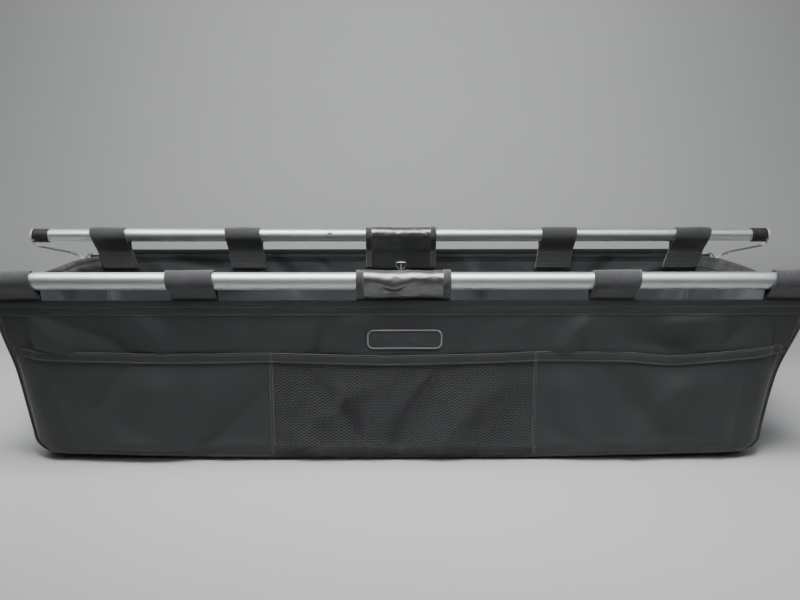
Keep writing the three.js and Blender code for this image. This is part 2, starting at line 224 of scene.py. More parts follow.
class Finish:
    """One material: its Principled shader and the nodes that feed it."""

    def __init__(self, name, colour, roughness, metallic=0.0, **uniform):
        self.material = bpy.data.materials.new(name)
        self.material.use_nodes = True
        self.tree = self.material.node_tree
        self.shader = self.tree.nodes["Principled BSDF"]
        self.colour = (*colour, 1)
        self.shader.inputs["Base Color"].default_value = self.colour
        self.shader.inputs["Roughness"].default_value = roughness
        self.shader.inputs["Metallic"].default_value = metallic
        for socket, value in uniform.items():
            self.shader.inputs[socket.replace("_", " ")].default_value = value

    def node(self, kind, settings=None, inputs=None, output=0):
        made = self.tree.nodes.new(kind)
        for key, value in (settings or {}).items():
            if key == "stops":
                self.set_stops(made.color_ramp, value)
            else:
                setattr(made, key, value)
        for key, value in (inputs or {}).items():
            self.put(made.inputs[key], value)
        return Signal(self, made.outputs[output])

    def put(self, socket, value):
        if isinstance(value, Signal):
            self.tree.links.new(value.socket, socket)
        else:
            socket.default_value = value

    @staticmethod
    def set_stops(ramp, stops):
        while len(ramp.elements) < len(stops):
            ramp.elements.new(1)
        for element, (place, shade) in zip(ramp.elements, stops):
            element.position = place
            element.color = (shade, shade, shade, 1)

    def place(self, scale=(1, 1, 1)):
        """Place in the object's frame, stretched."""
        position = self.node("ShaderNodeTexCoord", output="Object")
        return self.node(
            "ShaderNodeVectorMath", {"operation": "MULTIPLY"}, {0: position, 1: scale}
        )

    def noise(self, scale, detail=3.0, stretch=(1, 1, 1)):
        return self.node(
            "ShaderNodeTexNoise", None,
            {"Vector": self.place(stretch), "Scale": scale, "Detail": detail, "Roughness": 0.6},
        )

    def cells(self, scale):
        return self.node("ShaderNodeTexVoronoi", None, {"Vector": self.place(), "Scale": scale})

    def cloth_axes(self):
        """Metres along and across the piece's threads."""
        uv = self.node("ShaderNodeUVMap", {"uv_map": "Threads"})
        split = self.node("ShaderNodeSeparateXYZ", None, {0: uv})
        return split, Signal(self, split.socket.node.outputs["Y"])

    def threads(self, along_pitch, across_pitch):
        """0 to 1: crossing threads, each over and under the next."""
        along, across = self.cloth_axes()
        warp = (along * (math.pi / along_pitch)).math("SINE")
        weft = (across * (math.pi / across_pitch)).math("SINE")
        return warp * weft * 0.5 + 0.5

    def ribs(self, pitch, lengthwise=True):
        """0 to 1: raised ribs that run along the piece, or across it."""
        along, across = self.cloth_axes()
        axis = across if lengthwise else along
        return self.wave(axis, pitch) * 0.5 + 0.5

    @staticmethod
    def wave(axis, pitch):
        """-1 to 1, once over each pitch."""
        return (axis * (2 * math.pi / pitch)).math("SINE")

    def ramp(self, value, *stops):
        return self.node("ShaderNodeValToRGB", {"stops": stops}, {"Fac": value})

    def tint(self, factor, low, high):
        """Base Color from low to high times the finish's own colour."""
        shade = [tuple(min(1, c * level) for c in self.colour[:3]) + (1,) for level in (low, high)]
        mixed = self.node(
            "ShaderNodeMix", {"data_type": "RGBA"}, {0: factor, 6: shade[0], 7: shade[1]}, output=2
        )
        self.put(self.shader.inputs["Base Color"], mixed)

    def rough(self, value):
        self.put(self.shader.inputs["Roughness"], value)

    def relief(self, height, depth):
        """Bump of that depth in metres."""
        bump = self.node(
            "ShaderNodeBump", None, {"Strength": 1.0, "Distance": depth, "Height": height}
        )
        self.put(self.shader.inputs["Normal"], bump)


FINISHES = {}


def finish(name):
    """The named material, made the first time it is asked for."""
    if name not in FINISHES:
        FINISHES[name] = MAKERS[name](bpy.context.scene).material
    return FINISHES[name]


def make_sling_cloth(scene):
    cloth = scene.sling_fabric
    made = Finish("sling_cloth", cloth.colour, 0.62, Sheen_Weight=0.28, Sheen_Roughness=0.45)
    weave = made.threads(cloth.weave, cloth.weave)
    cloud = made.noise(9, 4)
    fine = made.noise(260, 2)
    made.tint(cloud * 0.7 + weave * 0.3, 0.62, 1.45)
    made.rough(0.5 + 0.16 * cloud + 0.08 * fine)
    made.relief(weave + 0.7 * fine + 1.2 * made.noise(45, 3), 0.16 * MM)
    return made


def make_lining(scene):
    cloth = scene.sling_fabric
    made = Finish("sling_lining", cloth.lining, 0.5)
    cloud = made.noise(14, 4)
    weave = made.threads(cloth.weave, cloth.weave)
    made.tint(cloud, 0.7, 1.3)
    made.rough(0.42 + 0.2 * cloud)
    made.relief(0.5 * weave + made.noise(70, 4), 0.12 * MM)
    return made


def make_binding(scene):
    made = Finish("binding_tape", scene.sling_webbing.colour, 0.7, Sheen_Weight=0.3)
    rib = made.ribs(1.3 * MM, lengthwise=False)
    made.tint(made.noise(40, 3) * 0.6 + rib * 0.4, 0.6, 1.35)
    made.relief(rib + 0.5 * made.noise(400, 2), 0.18 * MM)
    return made


def make_loop_webbing(scene):
    made = Finish(
        "loop_webbing", scene.sling_webbing.colour, 0.8, Sheen_Weight=0.6, Sheen_Roughness=0.5
    )
    rib = made.ribs(2.4 * MM)
    fuzz = made.noise(520, 4)
    made.tint(0.45 * rib + 0.35 * fuzz + 0.2 * made.noise(30, 3), 0.5, 1.6)
    made.rough(0.7 + 0.2 * fuzz)
    made.relief(0.8 * rib + fuzz, 0.4 * MM)
    return made


def make_vinyl(scene):
    made = Finish(
        "wrap_vinyl", scene.sling_webbing.vinyl, 0.36, Coat_Weight=1.0, Coat_Roughness=0.2,
        Specular_IOR_Level=0.9,
    )
    grain = made.ramp(made.cells(950), (0.0, 0.0), (0.55, 1.0))
    cloud = made.noise(22, 3)
    made.tint(cloud, 0.8, 1.2)
    made.rough(0.3 + 0.14 * cloud)
    made.relief(0.35 * grain + 1.6 * made.noise(60, 4), 0.22 * MM)
    return made


def make_thread(scene):
    made = Finish("sewing_thread", scene.sling_webbing.thread, 0.6, Sheen_Weight=0.3)
    twist = made.noise(1400, 2)
    made.tint(twist, 0.7, 1.4)
    made.relief(twist, 0.1 * MM)
    return made


def make_net_yarn(scene):
    made = Finish("net_yarn", scene.sling_webbing.colour, 0.6, Sheen_Weight=0.4)
    made.tint(made.noise(30, 3), 1.3, 2.6)
    made.relief(made.noise(1800, 2), 0.15 * MM)
    return made


def make_tube(scene):
    made = Finish("satin_aluminium", scene.bar_parts.metal, 0.36, 1.0)
    drawn = made.noise(30, 3, (0.15, 26, 26))
    smudge = made.noise(11, 4)
    made.tint(smudge, 0.88, 1.06)
    made.rough(0.4 + 0.06 * drawn + 0.07 * smudge)
    made.relief(drawn, 0.02 * MM)
    return made


def make_zinc(scene):
    made = Finish("zinc_wire", (0.52, 0.53, 0.54), 0.3, 1.0)
    spots = made.noise(260, 3)
    made.tint(spots, 0.75, 1.1)
    made.rough(0.22 + 0.22 * spots)
    made.relief(spots, 0.04 * MM)
    return made


def make_spring_steel(scene):
    made = Finish("spring_steel", (0.28, 0.285, 0.29), 0.36, 1.0)
    oil = made.noise(120, 3)
    made.tint(oil, 0.6, 1.2)
    made.rough(0.28 + 0.2 * oil)
    return made


def make_rubber(scene):
    made = Finish("cap_rubber", scene.bar_parts.rubber, 0.62)
    grain = made.noise(700, 3)
    scuff = made.noise(60, 5)
    made.tint(made.ramp(scuff, (0.5, 0.0), (0.72, 1.0)), 0.9, 2.4)
    made.rough(0.52 + 0.2 * grain)
    made.relief(grain, 0.08 * MM)
    return made


def make_pad(scene):
    made = Finish("end_pad", (0.66, 0.67, 0.67), 0.5)
    scuff = made.noise(160, 4)
    made.tint(scuff, 0.85, 1.05)
    made.rough(0.4 + 0.2 * scuff)
    made.relief(made.noise(500, 2), 0.05 * MM)
    return made


def make_nylon(scene):
    made = Finish("moulded_nylon", (0.022, 0.022, 0.024), 0.5)
    grain = made.noise(500, 3)
    made.tint(grain, 0.8, 1.5)
    made.rough(0.42 + 0.2 * grain)
    made.relief(grain, 0.05 * MM)
    return made


def make_patch_cloth(scene):
    made = Finish("patch_twill", (0.02, 0.021, 0.023), 0.55, Sheen_Weight=0.3)
    along, across = made.cloth_axes()
    twill = made.wave(along + across, 1.5 * MM) * 0.5 + 0.5
    made.tint(twill, 0.7, 1.6)
    made.relief(twill, 0.2 * MM)
    return made


def make_patch_border(scene):
    made = Finish("patch_border", (0.24, 0.25, 0.26), 0.45, Sheen_Weight=0.4)
    along, _ = made.cloth_axes()
    wrap = made.wave(along, 0.9 * MM) * 0.5 + 0.5
    made.tint(wrap, 0.55, 1.25)
    made.relief(wrap, 0.25 * MM)
    return made


def make_cord_sheath(scene):
    made = Finish("cord_sheath", (0.16, 0.168, 0.176), 0.7, Sheen_Weight=0.4)
    along, across = made.cloth_axes()
    one = made.wave(along + across, 2.4 * MM)
    two = made.wave(along - across, 2.4 * MM)
    braid = one * two * 0.5 + 0.5
    made.tint(braid, 0.45, 1.35)
    made.relief(braid, 0.3 * MM)
    return made


def make_floor(scene):
    made = Finish("floor", (0.43, 0.437, 0.443), 0.8)
    made.tint(made.noise(2, 2), 0.98, 1.02)
    return made


MAKERS = {
    "sling_cloth": make_sling_cloth,
    "lining": make_lining,
    "binding": make_binding,
    "loop_webbing": make_loop_webbing,
    "vinyl": make_vinyl,
    "thread": make_thread,
    "net_yarn": make_net_yarn,
    "tube": make_tube,
    "zinc": make_zinc,
    "spring_steel": make_spring_steel,
    "rubber": make_rubber,
    "pad": make_pad,
    "nylon": make_nylon,
    "patch_cloth": make_patch_cloth,
    "patch_border": make_patch_border,
    "cord_sheath": make_cord_sheath,
    "floor": make_floor,
}


# ---------------------------------------------------------------------------------------------
# Mesh building


def run_lengths(points, closed=False):
    """Distance along a line of points, to each of them, and back to the first if it closes."""
    points = np.asarray(points, float)
    if closed:
        points = np.vstack([points, points[:1]])
    steps = np.linalg.norm(np.diff(points, axis=0), axis=1)
    return np.concatenate([[0], np.cumsum(steps)])


class Form:
    """Points, faces, face-corner thread UVs and material slots, gathered for one mesh."""

    def __init__(self):
        self.points = []
        self.faces = []
        self.corners = []
        self.slots = []

    def face(self, indices, corners, slot=0):
        self.faces.append(indices)
        self.corners.append(corners)
        self.slots.append(slot)

    def grid(self, points, close_rows=False, close_columns=False, slot=0):
        """Quads over rows and columns of points. Rows run along the threads' length."""
        points = np.asarray(points, float)
        rows, columns = points.shape[:2]
        base = len(self.points)
        self.points.extend(points.reshape(-1, 3).tolist())
        along = run_lengths(points[:, columns // 2], close_rows)
        across = run_lengths(points[rows // 2], close_columns)
        for i in range(rows if close_rows else rows - 1):
            for j in range(columns if close_columns else columns - 1):
                below, beside = (i + 1) % rows, (j + 1) % columns
                indices = [
                    base + i * columns + j, base + below * columns + j,
                    base + below * columns + beside, base + i * columns + beside,
                ]
                corners = [
                    (along[i], across[j]), (along[i + 1], across[j]),
                    (along[i + 1], across[j + 1]), (along[i], across[j + 1]),
                ]
                self.face(indices, corners, slot)
        return base

    def cap(self, start, count, reverse=False, slot=0):
        indices = list(range(start, start + count))
        if reverse:
            indices.reverse()
        self.face(indices, [tuple(self.points[i][:2]) for i in indices], slot)

    def tube(self, rings, capped=True, slot=0):
        """A skin over rings of points, each closed on itself, with its two ends capped."""
        rings = np.asarray(rings, float)
        base = self.grid(rings, close_columns=True, slot=slot)
        if capped:
            count = rings.shape[1]
            self.cap(base, count, slot=slot)
            self.cap(base + (len(rings) - 1) * count, count, reverse=True, slot=slot)

    def build(self, name, finishes):
        mesh = bpy.data.meshes.new(name)
        mesh.from_pydata(self.points, [], self.faces)
        layer = mesh.uv_layers.new(name="Threads")
        layer.data.foreach_set(
            "uv", np.array([uv for face in self.corners for uv in face], np.float32).ravel()
        )
        for item in finishes:
            mesh.materials.append(finish(item))
        mesh.polygons.foreach_set("material_index", self.slots)
        mesh.polygons.foreach_set("use_smooth", [True] * len(self.faces))
        mesh.validate()
        outward(mesh)
        made = bpy.data.objects.new(name, mesh)
        bpy.context.scene.collection.objects.link(made)
        return made


def outward(mesh):
    """Turns the faces of a closed mesh to face out."""
    work = bmesh.new()
    work.from_mesh(mesh)
    bmesh.ops.remove_doubles(work, verts=work.verts, dist=1e-6)
    bmesh.ops.recalc_face_normals(work, faces=work.faces)
    work.to_mesh(mesh)
    work.free()


def settle(made, body, slot, *nodes, sharp=None):
    """Puts a finished piece on its body, in place of its CAD nodes."""
    if sharp:
        made.data.set_sharp_from_angle(angle=math.radians(sharp))
    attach(made, body)
    if nodes:
        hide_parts(*nodes)
    return made


def add_piece(form, name, material, body, slot, *nodes, sharp=None):
    """Builds the form in one material and settles it."""
    return settle(form.build(name, [material]), body, slot, *nodes, sharp=sharp)


def unit_rows(rows):
    """Each row as a direction of length one."""
    return rows / np.linalg.norm(rows, axis=1)[:, None]


def frames(path, closed=False):
    """Tangents and two cross directions along a path, carried without twist."""
    path = np.asarray(path, float)
    if closed:
        tangents = np.roll(path, -1, 0) - np.roll(path, 1, 0)
    else:
        tangents = np.gradient(path, axis=0)
    tangents = unit_rows(tangents)
    side = np.cross(tangents[0], (0.0, 0.0, 1.0))
    if np.linalg.norm(side) < 0.2:
        side = np.cross(tangents[0], (0.0, 1.0, 0.0))
    sides = []
    for tangent in tangents:
        side = side - tangent * np.dot(side, tangent)
        side = side / np.linalg.norm(side)
        sides.append(side)
    sides = np.array(sides)
    return tangents, sides, np.cross(tangents, sides)


def smooth_path(points, spacing, closed=False):
    """A Catmull-Rom curve through the points, in even steps."""
    points = np.asarray(points, float)
    if closed:
        ring = np.vstack([points[-1:], points, points[:2]])
    else:
        ring = np.vstack([2 * points[0] - points[1], points, 2 * points[-1] - points[-2]])
    fine = []
    for a, b, c, d in zip(ring, ring[1:], ring[2:], ring[3:]):
        for t in np.linspace(0, 1, 16, endpoint=False):
            fine.append(0.5 * (
                2 * b + (c - a) * t + (2 * a - 5 * b + 4 * c - d) * t * t
                + (3 * b - a - 3 * c + d) * t ** 3
            ))
    if not closed:
        fine.append(points[-1])
    fine = np.array(fine)
    return resample(fine, spacing, closed)


def resample(points, spacing, closed=False):
    """Even steps of about that spacing along a line of points."""
    run = run_lengths(points, closed)
    source = np.vstack([points, points[:1]]) if closed else np.asarray(points, float)
    count = max(3, round(run[-1] / spacing))
    wanted = np.linspace(0, run[-1], count + 1)
    if closed:
        wanted = wanted[:-1]
    return np.column_stack([np.interp(wanted, run, source[:, k]) for k in range(3)])


def circle(sides, start=0.0):
    angles = start + np.arange(sides) * 2 * math.pi / sides
    return np.column_stack([np.cos(angles), np.sin(angles)])


def round_rings(path, across, up, radii, sides):
    """Rings of points round a path, each with its own radius."""
    ring = circle(sides)
    return (
        path[:, None]
        + across[:, None] * (radii[:, None] * ring[None, :, 0])[..., None]
        + up[:, None] * (radii[:, None] * ring[None, :, 1])[..., None]
    )


def add_wire(form, path, radius, sides=10, closed=False, slot=0):
    """A round wire along a path, with rounded ends."""
    path = np.asarray(path, float)
    tangents, across, up = frames(path, closed)
    radii = np.full(len(path), radius)
    if not closed:
        cap = [(1.0, 0.12), (0.8, 0.6), (0.45, 0.89)]
        head = [path[0] - tangents[0] * radius * d for d, _ in cap]
        tail = [path[-1] + tangents[-1] * radius * d for d, _ in reversed(cap)]
        path = np.vstack([head, path, tail])
        radii = np.concatenate([
            [radius * r for _, r in cap], radii, [radius * r for _, r in reversed(cap)],
        ])
        across = np.vstack([across[:1]] * 3 + [across] + [across[-1:]] * 3)
        up = np.vstack([up[:1]] * 3 + [up] + [up[-1:]] * 3)
    rings = round_rings(path, across, up, radii, sides)
    if closed:
        form.grid(rings, close_rows=True, close_columns=True, slot=slot)
    else:
        form.tube(rings, slot=slot)


def add_turned(form, origin, axis, profile, sides, slot=0):
    """A solid or ring turned about an axis, from a closed outline of (along, radius) points."""
    axis = Vector(axis).normalized()
    side = axis.orthogonal().normalized()
    up = axis.cross(side)
    ring = circle(sides)
    around = ring[:, :1] * np.array(side) + ring[:, 1:] * np.array(up)
    rings = [
        np.array(origin) + np.array(axis) * along + around * max(radius, 1e-7)
        for along, radius in profile
    ]
    form.grid(np.array(rings), close_rows=True, close_columns=True, slot=slot)


def add_stitches(form, path, normals, pitch, slot=0, thickness=0.42 * MM, fill=0.72):
    """A row of single stitches along a path on a surface, each sunk a little into it."""
    path = np.asarray(path, float)
    normals = np.asarray(normals, float)
    run = run_lengths(path)
    count = int(run[-1] // pitch)
    middles = (np.arange(count) + 0.5) * run[-1] / count
    half = 0.5 * fill * pitch

    def along_path(places, values):
        return np.column_stack([np.interp(places, run, values[:, i]) for i in range(3)])

    start, end = along_path(middles - half, path), along_path(middles + half, path)
    normal = along_path(middles, normals)
    normal = unit_rows(normal)
    side = np.cross(end - start, normal)
    side = unit_rows(side)
    ring = circle(5)
    for a, b, up, across in zip(start, end, normal, side):
        around = ring[:, :1] * across + ring[:, 1:] * up
        rings = [
            a + (b - a) * t + up * (thickness * (swell - 0.75)) + around * (thickness * swell)
            for t, swell in ((0.0, 0.35), (0.18, 0.85), (0.5, 1.0), (0.82, 0.85), (1.0, 0.35))
        ]
        form.tube(np.array(rings), slot=slot)


def fold_noise(x, y, z, scale):
    return noise.noise(Vector((x * scale, y * scale, z * scale)))


def smoothstep(low, high, value):
    t = min(1.0, max(0.0, (value - low) / (high - low)))
    return t * t * (3 - 2 * t)


# ---------------------------------------------------------------------------------------------
# Stage


LENS = 39.4
SENSOR = 36
EYE = (-0.015, -1.6346, BAR_Z + 0.2763)
DOWNWARD = 12.56
SIDEWAYS = -0.39
WORLD_COLOUR = (0.8, 0.82, 0.85, 1)
WORLD_STRENGTH = 0.1
SWEEP_START = 2.2
SWEEP_RADIUS = 2.2

# name, place, target, (width, height), watts, spread in degrees
LIGHTS = (
    ("key", (-0.2, -0.45, 1.9), (-0.05, -0.1, 0.1), (1.9, 0.9), 19, 75),
    ("front_fill", (1.8, -2.6, 2.2), (0, 0, 0.15), (1.0, 0.6), 0.8, 60),
    ("rear_fill", (-1.6, 2.9, 2.0), (0, 0, 0.15), (1.0, 0.6), 2.2, 60),
    ("front_floor", (0, -4.2, 3.0), (0, -4.2, 0), (6.0, 2.0), 30, 90),
    ("backdrop", (0, 1.4, 2.4), (0, 4.2, 1.0), (3.0, 1.6), 60, 150),
    ("overhead", (0, -0.5, 4.8), (0, -0.5, 0), (9.0, 9.0), 130, 170),
)


class CARGOBAR_OT_stage(bpy.types.Operator):
    """Camera, soft studio lights and a pale floor"""

    bl_idname = "cargobar.stage"
    bl_label = "Stage"

    def execute(self, context):
        scene = context.scene
        data = bpy.data.cameras.new("camera")
        data.lens = LENS
        data.sensor_width = SENSOR
        camera = bpy.data.objects.new("camera", data)
        camera.location = EYE
        camera.rotation_euler = Euler((math.radians(90 - DOWNWARD), 0, math.radians(SIDEWAYS)))
        scene.collection.objects.link(camera)
        scene.camera = camera
        self.add_floor()
        for light in LIGHTS:
            self.add_light(scene, *light)
        world = bpy.data.worlds.new("studio")
        world.use_nodes = True
        background = world.node_tree.nodes["Background"]
        background.inputs["Color"].default_value = WORLD_COLOUR
        background.inputs["Strength"].default_value = WORLD_STRENGTH
        scene.world = world
        return {"FINISHED"}

    def add_floor(self):
        """A pale floor that curves up into a backdrop."""
        form = Form()
        profile = [(y, 0.0) for y in np.linspace(-14, SWEEP_START, 18)]
        profile += [
            (SWEEP_START + SWEEP_RADIUS * math.sin(a), SWEEP_RADIUS - SWEEP_RADIUS * math.cos(a))
            for a in np.linspace(0.1, math.pi / 2, 14)
        ]
        profile += [(4.4, 3.4), (4.4, 5.0)]
        form.grid([[(x, y, z - 0.5 * MM) for x in np.linspace(-16, 16, 16)] for y, z in profile])
        floor = form.build("floor", ["floor"])

    def add_light(self, scene, name, place, target, extent, power, spread):
        data = bpy.data.lights.new(name, "AREA")
        data.shape = "RECTANGLE"
        data.size, data.size_y = extent
        data.energy = power
        data.spread = math.radians(spread)
        light = bpy.data.objects.new(name, data)
        light.location = place
        aim = Vector(target) - Vector(place)
        light.rotation_euler = aim.to_track_quat("-Z", "Y").to_euler()
        scene.collection.objects.link(light)


# ---------------------------------------------------------------------------------------------
# Corner ties. The points of the +X tie, mirrored for the other.

TIE_PIVOT = Vector((674.5, 259, 252)) * MM
RING_APEX = Vector((687.5, 259, 252)) * MM
COIL_START = Vector((702, 256.4, 260.6)) * MM
COIL_END = Vector((717, 253, 268)) * MM
OUTER_COIL_START = Vector((774, 237, 283.5)) * MM
OUTER_COIL_END = Vector((782, 234.8, 285.8)) * MM
CORD_GAP = 0.5 * MM
CORD_RADIUS = 2.25 * MM
HOOK_RADIUS = 1.35 * MM


class CARGOBAR_OT_ties(bpy.types.Operator):
    """Corner tabs, rings, wire hooks and shock cords"""

    bl_idname = "cargobar.ties"
    bl_label = "Corner ties"

    def execute(self, context):
        for hand, side in (("right", 1), ("left", -1)):
            self.mirror = np.array([side, 1, 1], float)
            body = f"{hand}_tie"
            inner = self.inner_hook(hand, body)
            outer = self.outer_hook(hand, body)
            self.ring(hand, body)
            self.cord(hand, body, [inner, outer])
            self.tab(hand)
            self.inner_tab(hand)
        return {"FINISHED"}

    def flip(self, points):
        return np.asarray(points, float) * self.mirror

    def coil(self, form, start, end, radii, turns):
        """Wire wound round the cord's end, from one radius to another."""
        start, end = np.array(start), np.array(end)
        axis = (end - start) / np.linalg.norm(end - start)
        side = np.cross(axis, (0, 0, 1))
        side /= np.linalg.norm(side)
        up = np.cross(axis, side)
        points = []
        for t in np.linspace(0.04, 0.96, turns * 14):
            angle = 2 * math.pi * turns * t
            radius = radii[0] + (radii[1] - radii[0]) * t
            centre = start + (end - start) * t
            points.append(centre + radius * (math.cos(angle) * side + math.sin(angle) * up))
        add_wire(form, self.flip(points), 0.85 * MM, 7)

    def inner_hook(self, hand, body):
        form = Form()
        bend = 4.2 * MM
        apex = np.array(RING_APEX)
        offsets = [
            (7, -4.2, 3.6), (0, -4.2, 0), (-2.94, -2.94, -1.4), (-4.2, 0, -1.8),
            (-2.94, 2.94, -1.4), (0, 4.2, 0), (7, 4.8, 3.6),
        ]
        start = np.array(COIL_START.lerp(COIL_END, 0.35))
        route = [start, np.array(COIL_START)]
        route += [apex + np.array(offset) * bend / 4.2 for offset in offsets]
        add_wire(form, self.flip(smooth_path(route, 1.2 * MM)), HOOK_RADIUS, 10)
        self.coil(form, COIL_START, COIL_END, (2.0 * MM, 3.3 * MM), 8)
        return add_piece(
            form, f"{hand}_inner_hook_wire", "zinc", body, "steel", f"{hand}_inner_hook"
        )

    def outer_hook(self, hand, body):
        form = Form()
        route = [
            np.array(OUTER_COIL_START.lerp(OUTER_COIL_END, 0.6)),
            np.array((786, 233.6, 287.4)) * MM,
            np.array((789, 232.6, 290.5)) * MM,
            np.array((790, 232, 295)) * MM,
            np.array((789.2, 231.6, 299.5)) * MM,
        ]
        add_wire(form, self.flip(smooth_path(route, 1.2 * MM)), HOOK_RADIUS, 10)
        self.coil(form, OUTER_COIL_START, OUTER_COIL_END, (3.0 * MM, 2.2 * MM), 5)
        return add_piece(
            form, f"{hand}_outer_hook_wire", "zinc", body, "steel", f"{hand}_outer_hook"
        )

    def cord(self, hand, body, hooks):
        along = (OUTER_COIL_START - COIL_END).normalized()
        start = COIL_END + along * CORD_GAP
        end = OUTER_COIL_START - along * CORD_GAP
        route = [np.array(start.lerp(end, t)) for t in np.linspace(0, 1, 40)]
        route = self.flip(route)
        form = Form()
        _, across, up = frames(route)
        form.tube(round_rings(route, across, up, np.full(len(route), CORD_RADIUS), 16))
        made = add_piece(
            form, f"{hand}_shock_cord", "cord_sheath", body, "shock_cord", f"{hand}_tie_cord"
        )

    def ring(self, hand, body):
        half, depth = 12.5 * MM, 13 * MM
        outline = [(0, -half + 3 * MM), (0, 0), (0, half - 3 * MM), (1 * MM, half)]
        outline += [
            (depth * math.cos(a), half * math.sin(a)) for a in np.linspace(1.25, -1.25, 11)
        ]
        outline.append((1 * MM, -half))
        points = [
            (TIE_PIVOT.x + x, TIE_PIVOT.y, TIE_PIVOT.z + z) for x, z in outline
        ]
        form = Form()
        path = smooth_path(self.flip(points), 1.5 * MM, closed=True)
        add_wire(form, path, 1.5 * MM, 10, closed=True)
        add_piece(
            form, f"{hand}_corner_d_ring", "zinc", body, "steel", f"{hand}_corner_ring"
        )

    def tab(self, hand):
        """Webbing folded round the ring's straight bar and sewn to the rear wall."""
        low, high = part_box("right_corner_tab")
        thickness = 1.5 * MM
        eye = 3.6 * MM
        inner = low.x
        rows = []
        reach = math.asin(0.9 * MM / eye)
        route = [(inner, 0.9 * MM)]
        route += [(inner + s * (TIE_PIVOT.x - eye - inner), 0.9 * MM) for s in (0.3, 0.6, 0.9)]
        route += [
            (TIE_PIVOT.x - eye * math.cos(a), eye * math.sin(a))
            for a in np.linspace(reach, 2 * math.pi - reach, 15)
        ]
        route += [(inner + s * (TIE_PIVOT.x - eye - inner), -0.9 * MM) for s in (0.9, 0.6, 0.3)]
        route.append((inner, -0.9 * MM))
        path = np.array([(x, TIE_PIVOT.y + y, 0) for x, y in route])
        tangents = unit_rows(np.gradient(path, axis=0))
        out = np.cross(tangents, (0, 0, 1))
        heights = np.linspace(low.z, high.z, 12)
        for point, normal in zip(path, out):
            top = [(*(point + normal * thickness / 2)[:2], z) for z in heights]
            back = [(*(point - normal * thickness / 2)[:2], z) for z in reversed(heights)]
            rows.append(top + back)
        form = Form()
        form.tube(self.flip(rows))
        add_piece(
            form, f"{hand}_corner_tab_webbing", "binding", SLING, "hook_loop",
            f"{hand}_corner_tab", sharp=60,
        )
        self.tab_stitches(hand, low, high)

    def inner_tab(self, hand):
        """The same webbing carried on along the inside of the hem, with upright stitches."""
        slack = bpy.context.scene.sling_fabric.slack
        side = 1 if hand == "right" else -1
        rows = []
        for x in np.linspace(598 * MM, 655 * MM, 26):
            section = []
            for s, away in ((0, 0.2), (0.04, 1.5), (0.5, 1.8), (0.96, 1.5), (1, 0.2), (0.5, 0.0)):
                z = HEM_Z - 1 * MM - 22 * MM * s
                y = wall_line(side * x, z, 1, slack) - 2.5 * MM - away * MM
                section.append((side * x, y, dropped(side * x, y, z)))
            rows.append(section)
        form = Form()
        form.tube(np.array(rows))
        add_piece(form, f"{hand}_inner_tab", "loop_webbing", SLING, "hook_loop", sharp=60)
        form = Form()
        for x in np.linspace(604 * MM, 650 * MM, 6):
            path = []
            for z in np.linspace(HEM_Z - 3 * MM, HEM_Z - 21 * MM, 8):
                y = wall_line(side * x, z, 1, slack) - 4.4 * MM
                path.append((side * x, y, dropped(side * x, y, z)))
            add_stitches(form, path, [(0, -1, 0)] * 8, 3 * MM)
        add_piece(form, f"{hand}_inner_tab_stitches", "thread", SLING, "hook_loop")

    def tab_stitches(self, hand, low, high):
        form = Form()
        outer = TIE_PIVOT.y + 1.65 * MM
        for x in (low.x + 4 * MM, low.x + 14 * MM, low.x + 24 * MM):
            path = [(x, outer, z) for z in np.linspace(low.z + 2 * MM, high.z - 2 * MM, 8)]
            add_stitches(form, self.flip(path), [(0, 1, 0)] * 8, 2.6 * MM)
        add_piece(form, f"{hand}_corner_tab_stitches", "thread", SLING, "hook_loop")


# ---------------------------------------------------------------------------------------------
# Bars


class CARGOBAR_OT_tubes(bpy.types.Operator):
    """The centre and end tubes of both bars"""

    bl_idname = "cargobar.tubes"
    bl_label = "Tubes"

    def execute(self, context):
        sides = context.scene.bar_parts.sides
        for bar, _ in ENDS:
            self.tube(f"{bar}_centre_tube", SLING, 1.2 * MM, 0.5 * MM, sides)
            for end in ("lock", "spring"):
                self.tube(f"{bar}_{end}_tube", f"{bar}_{end}_end", 1.6 * MM, 0.4 * MM, sides)
        return {"FINISHED"}

    def tube(self, node, body, wall, edge, sides):
        low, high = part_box(node)
        radius = (high.z - low.z) / 2
        bore = radius - wall
        centre = (0, middle(node).y, BAR_Z)
        # four close rows at each end make its rounded edge; the rest carry the long surface
        outer = [(low.x, radius - edge), (low.x + 0.3 * edge, radius - 0.3 * edge)]
        outer += [(x, radius) for x in np.linspace(low.x + edge, high.x - edge, 24)]
        outer += [(high.x - 0.3 * edge, radius - 0.3 * edge), (high.x, radius - edge)]
        inner = [(high.x, bore), (high.x - edge, bore - 0.02 * MM)]
        inner += [(low.x + edge, bore - 0.02 * MM), (low.x, bore)]
        form = Form()
        add_turned(form, centre, (1, 0, 0), outer + inner, sides)
        add_piece(form, f"{node}_shell", "tube", body, "aluminium", node, sharp=40)


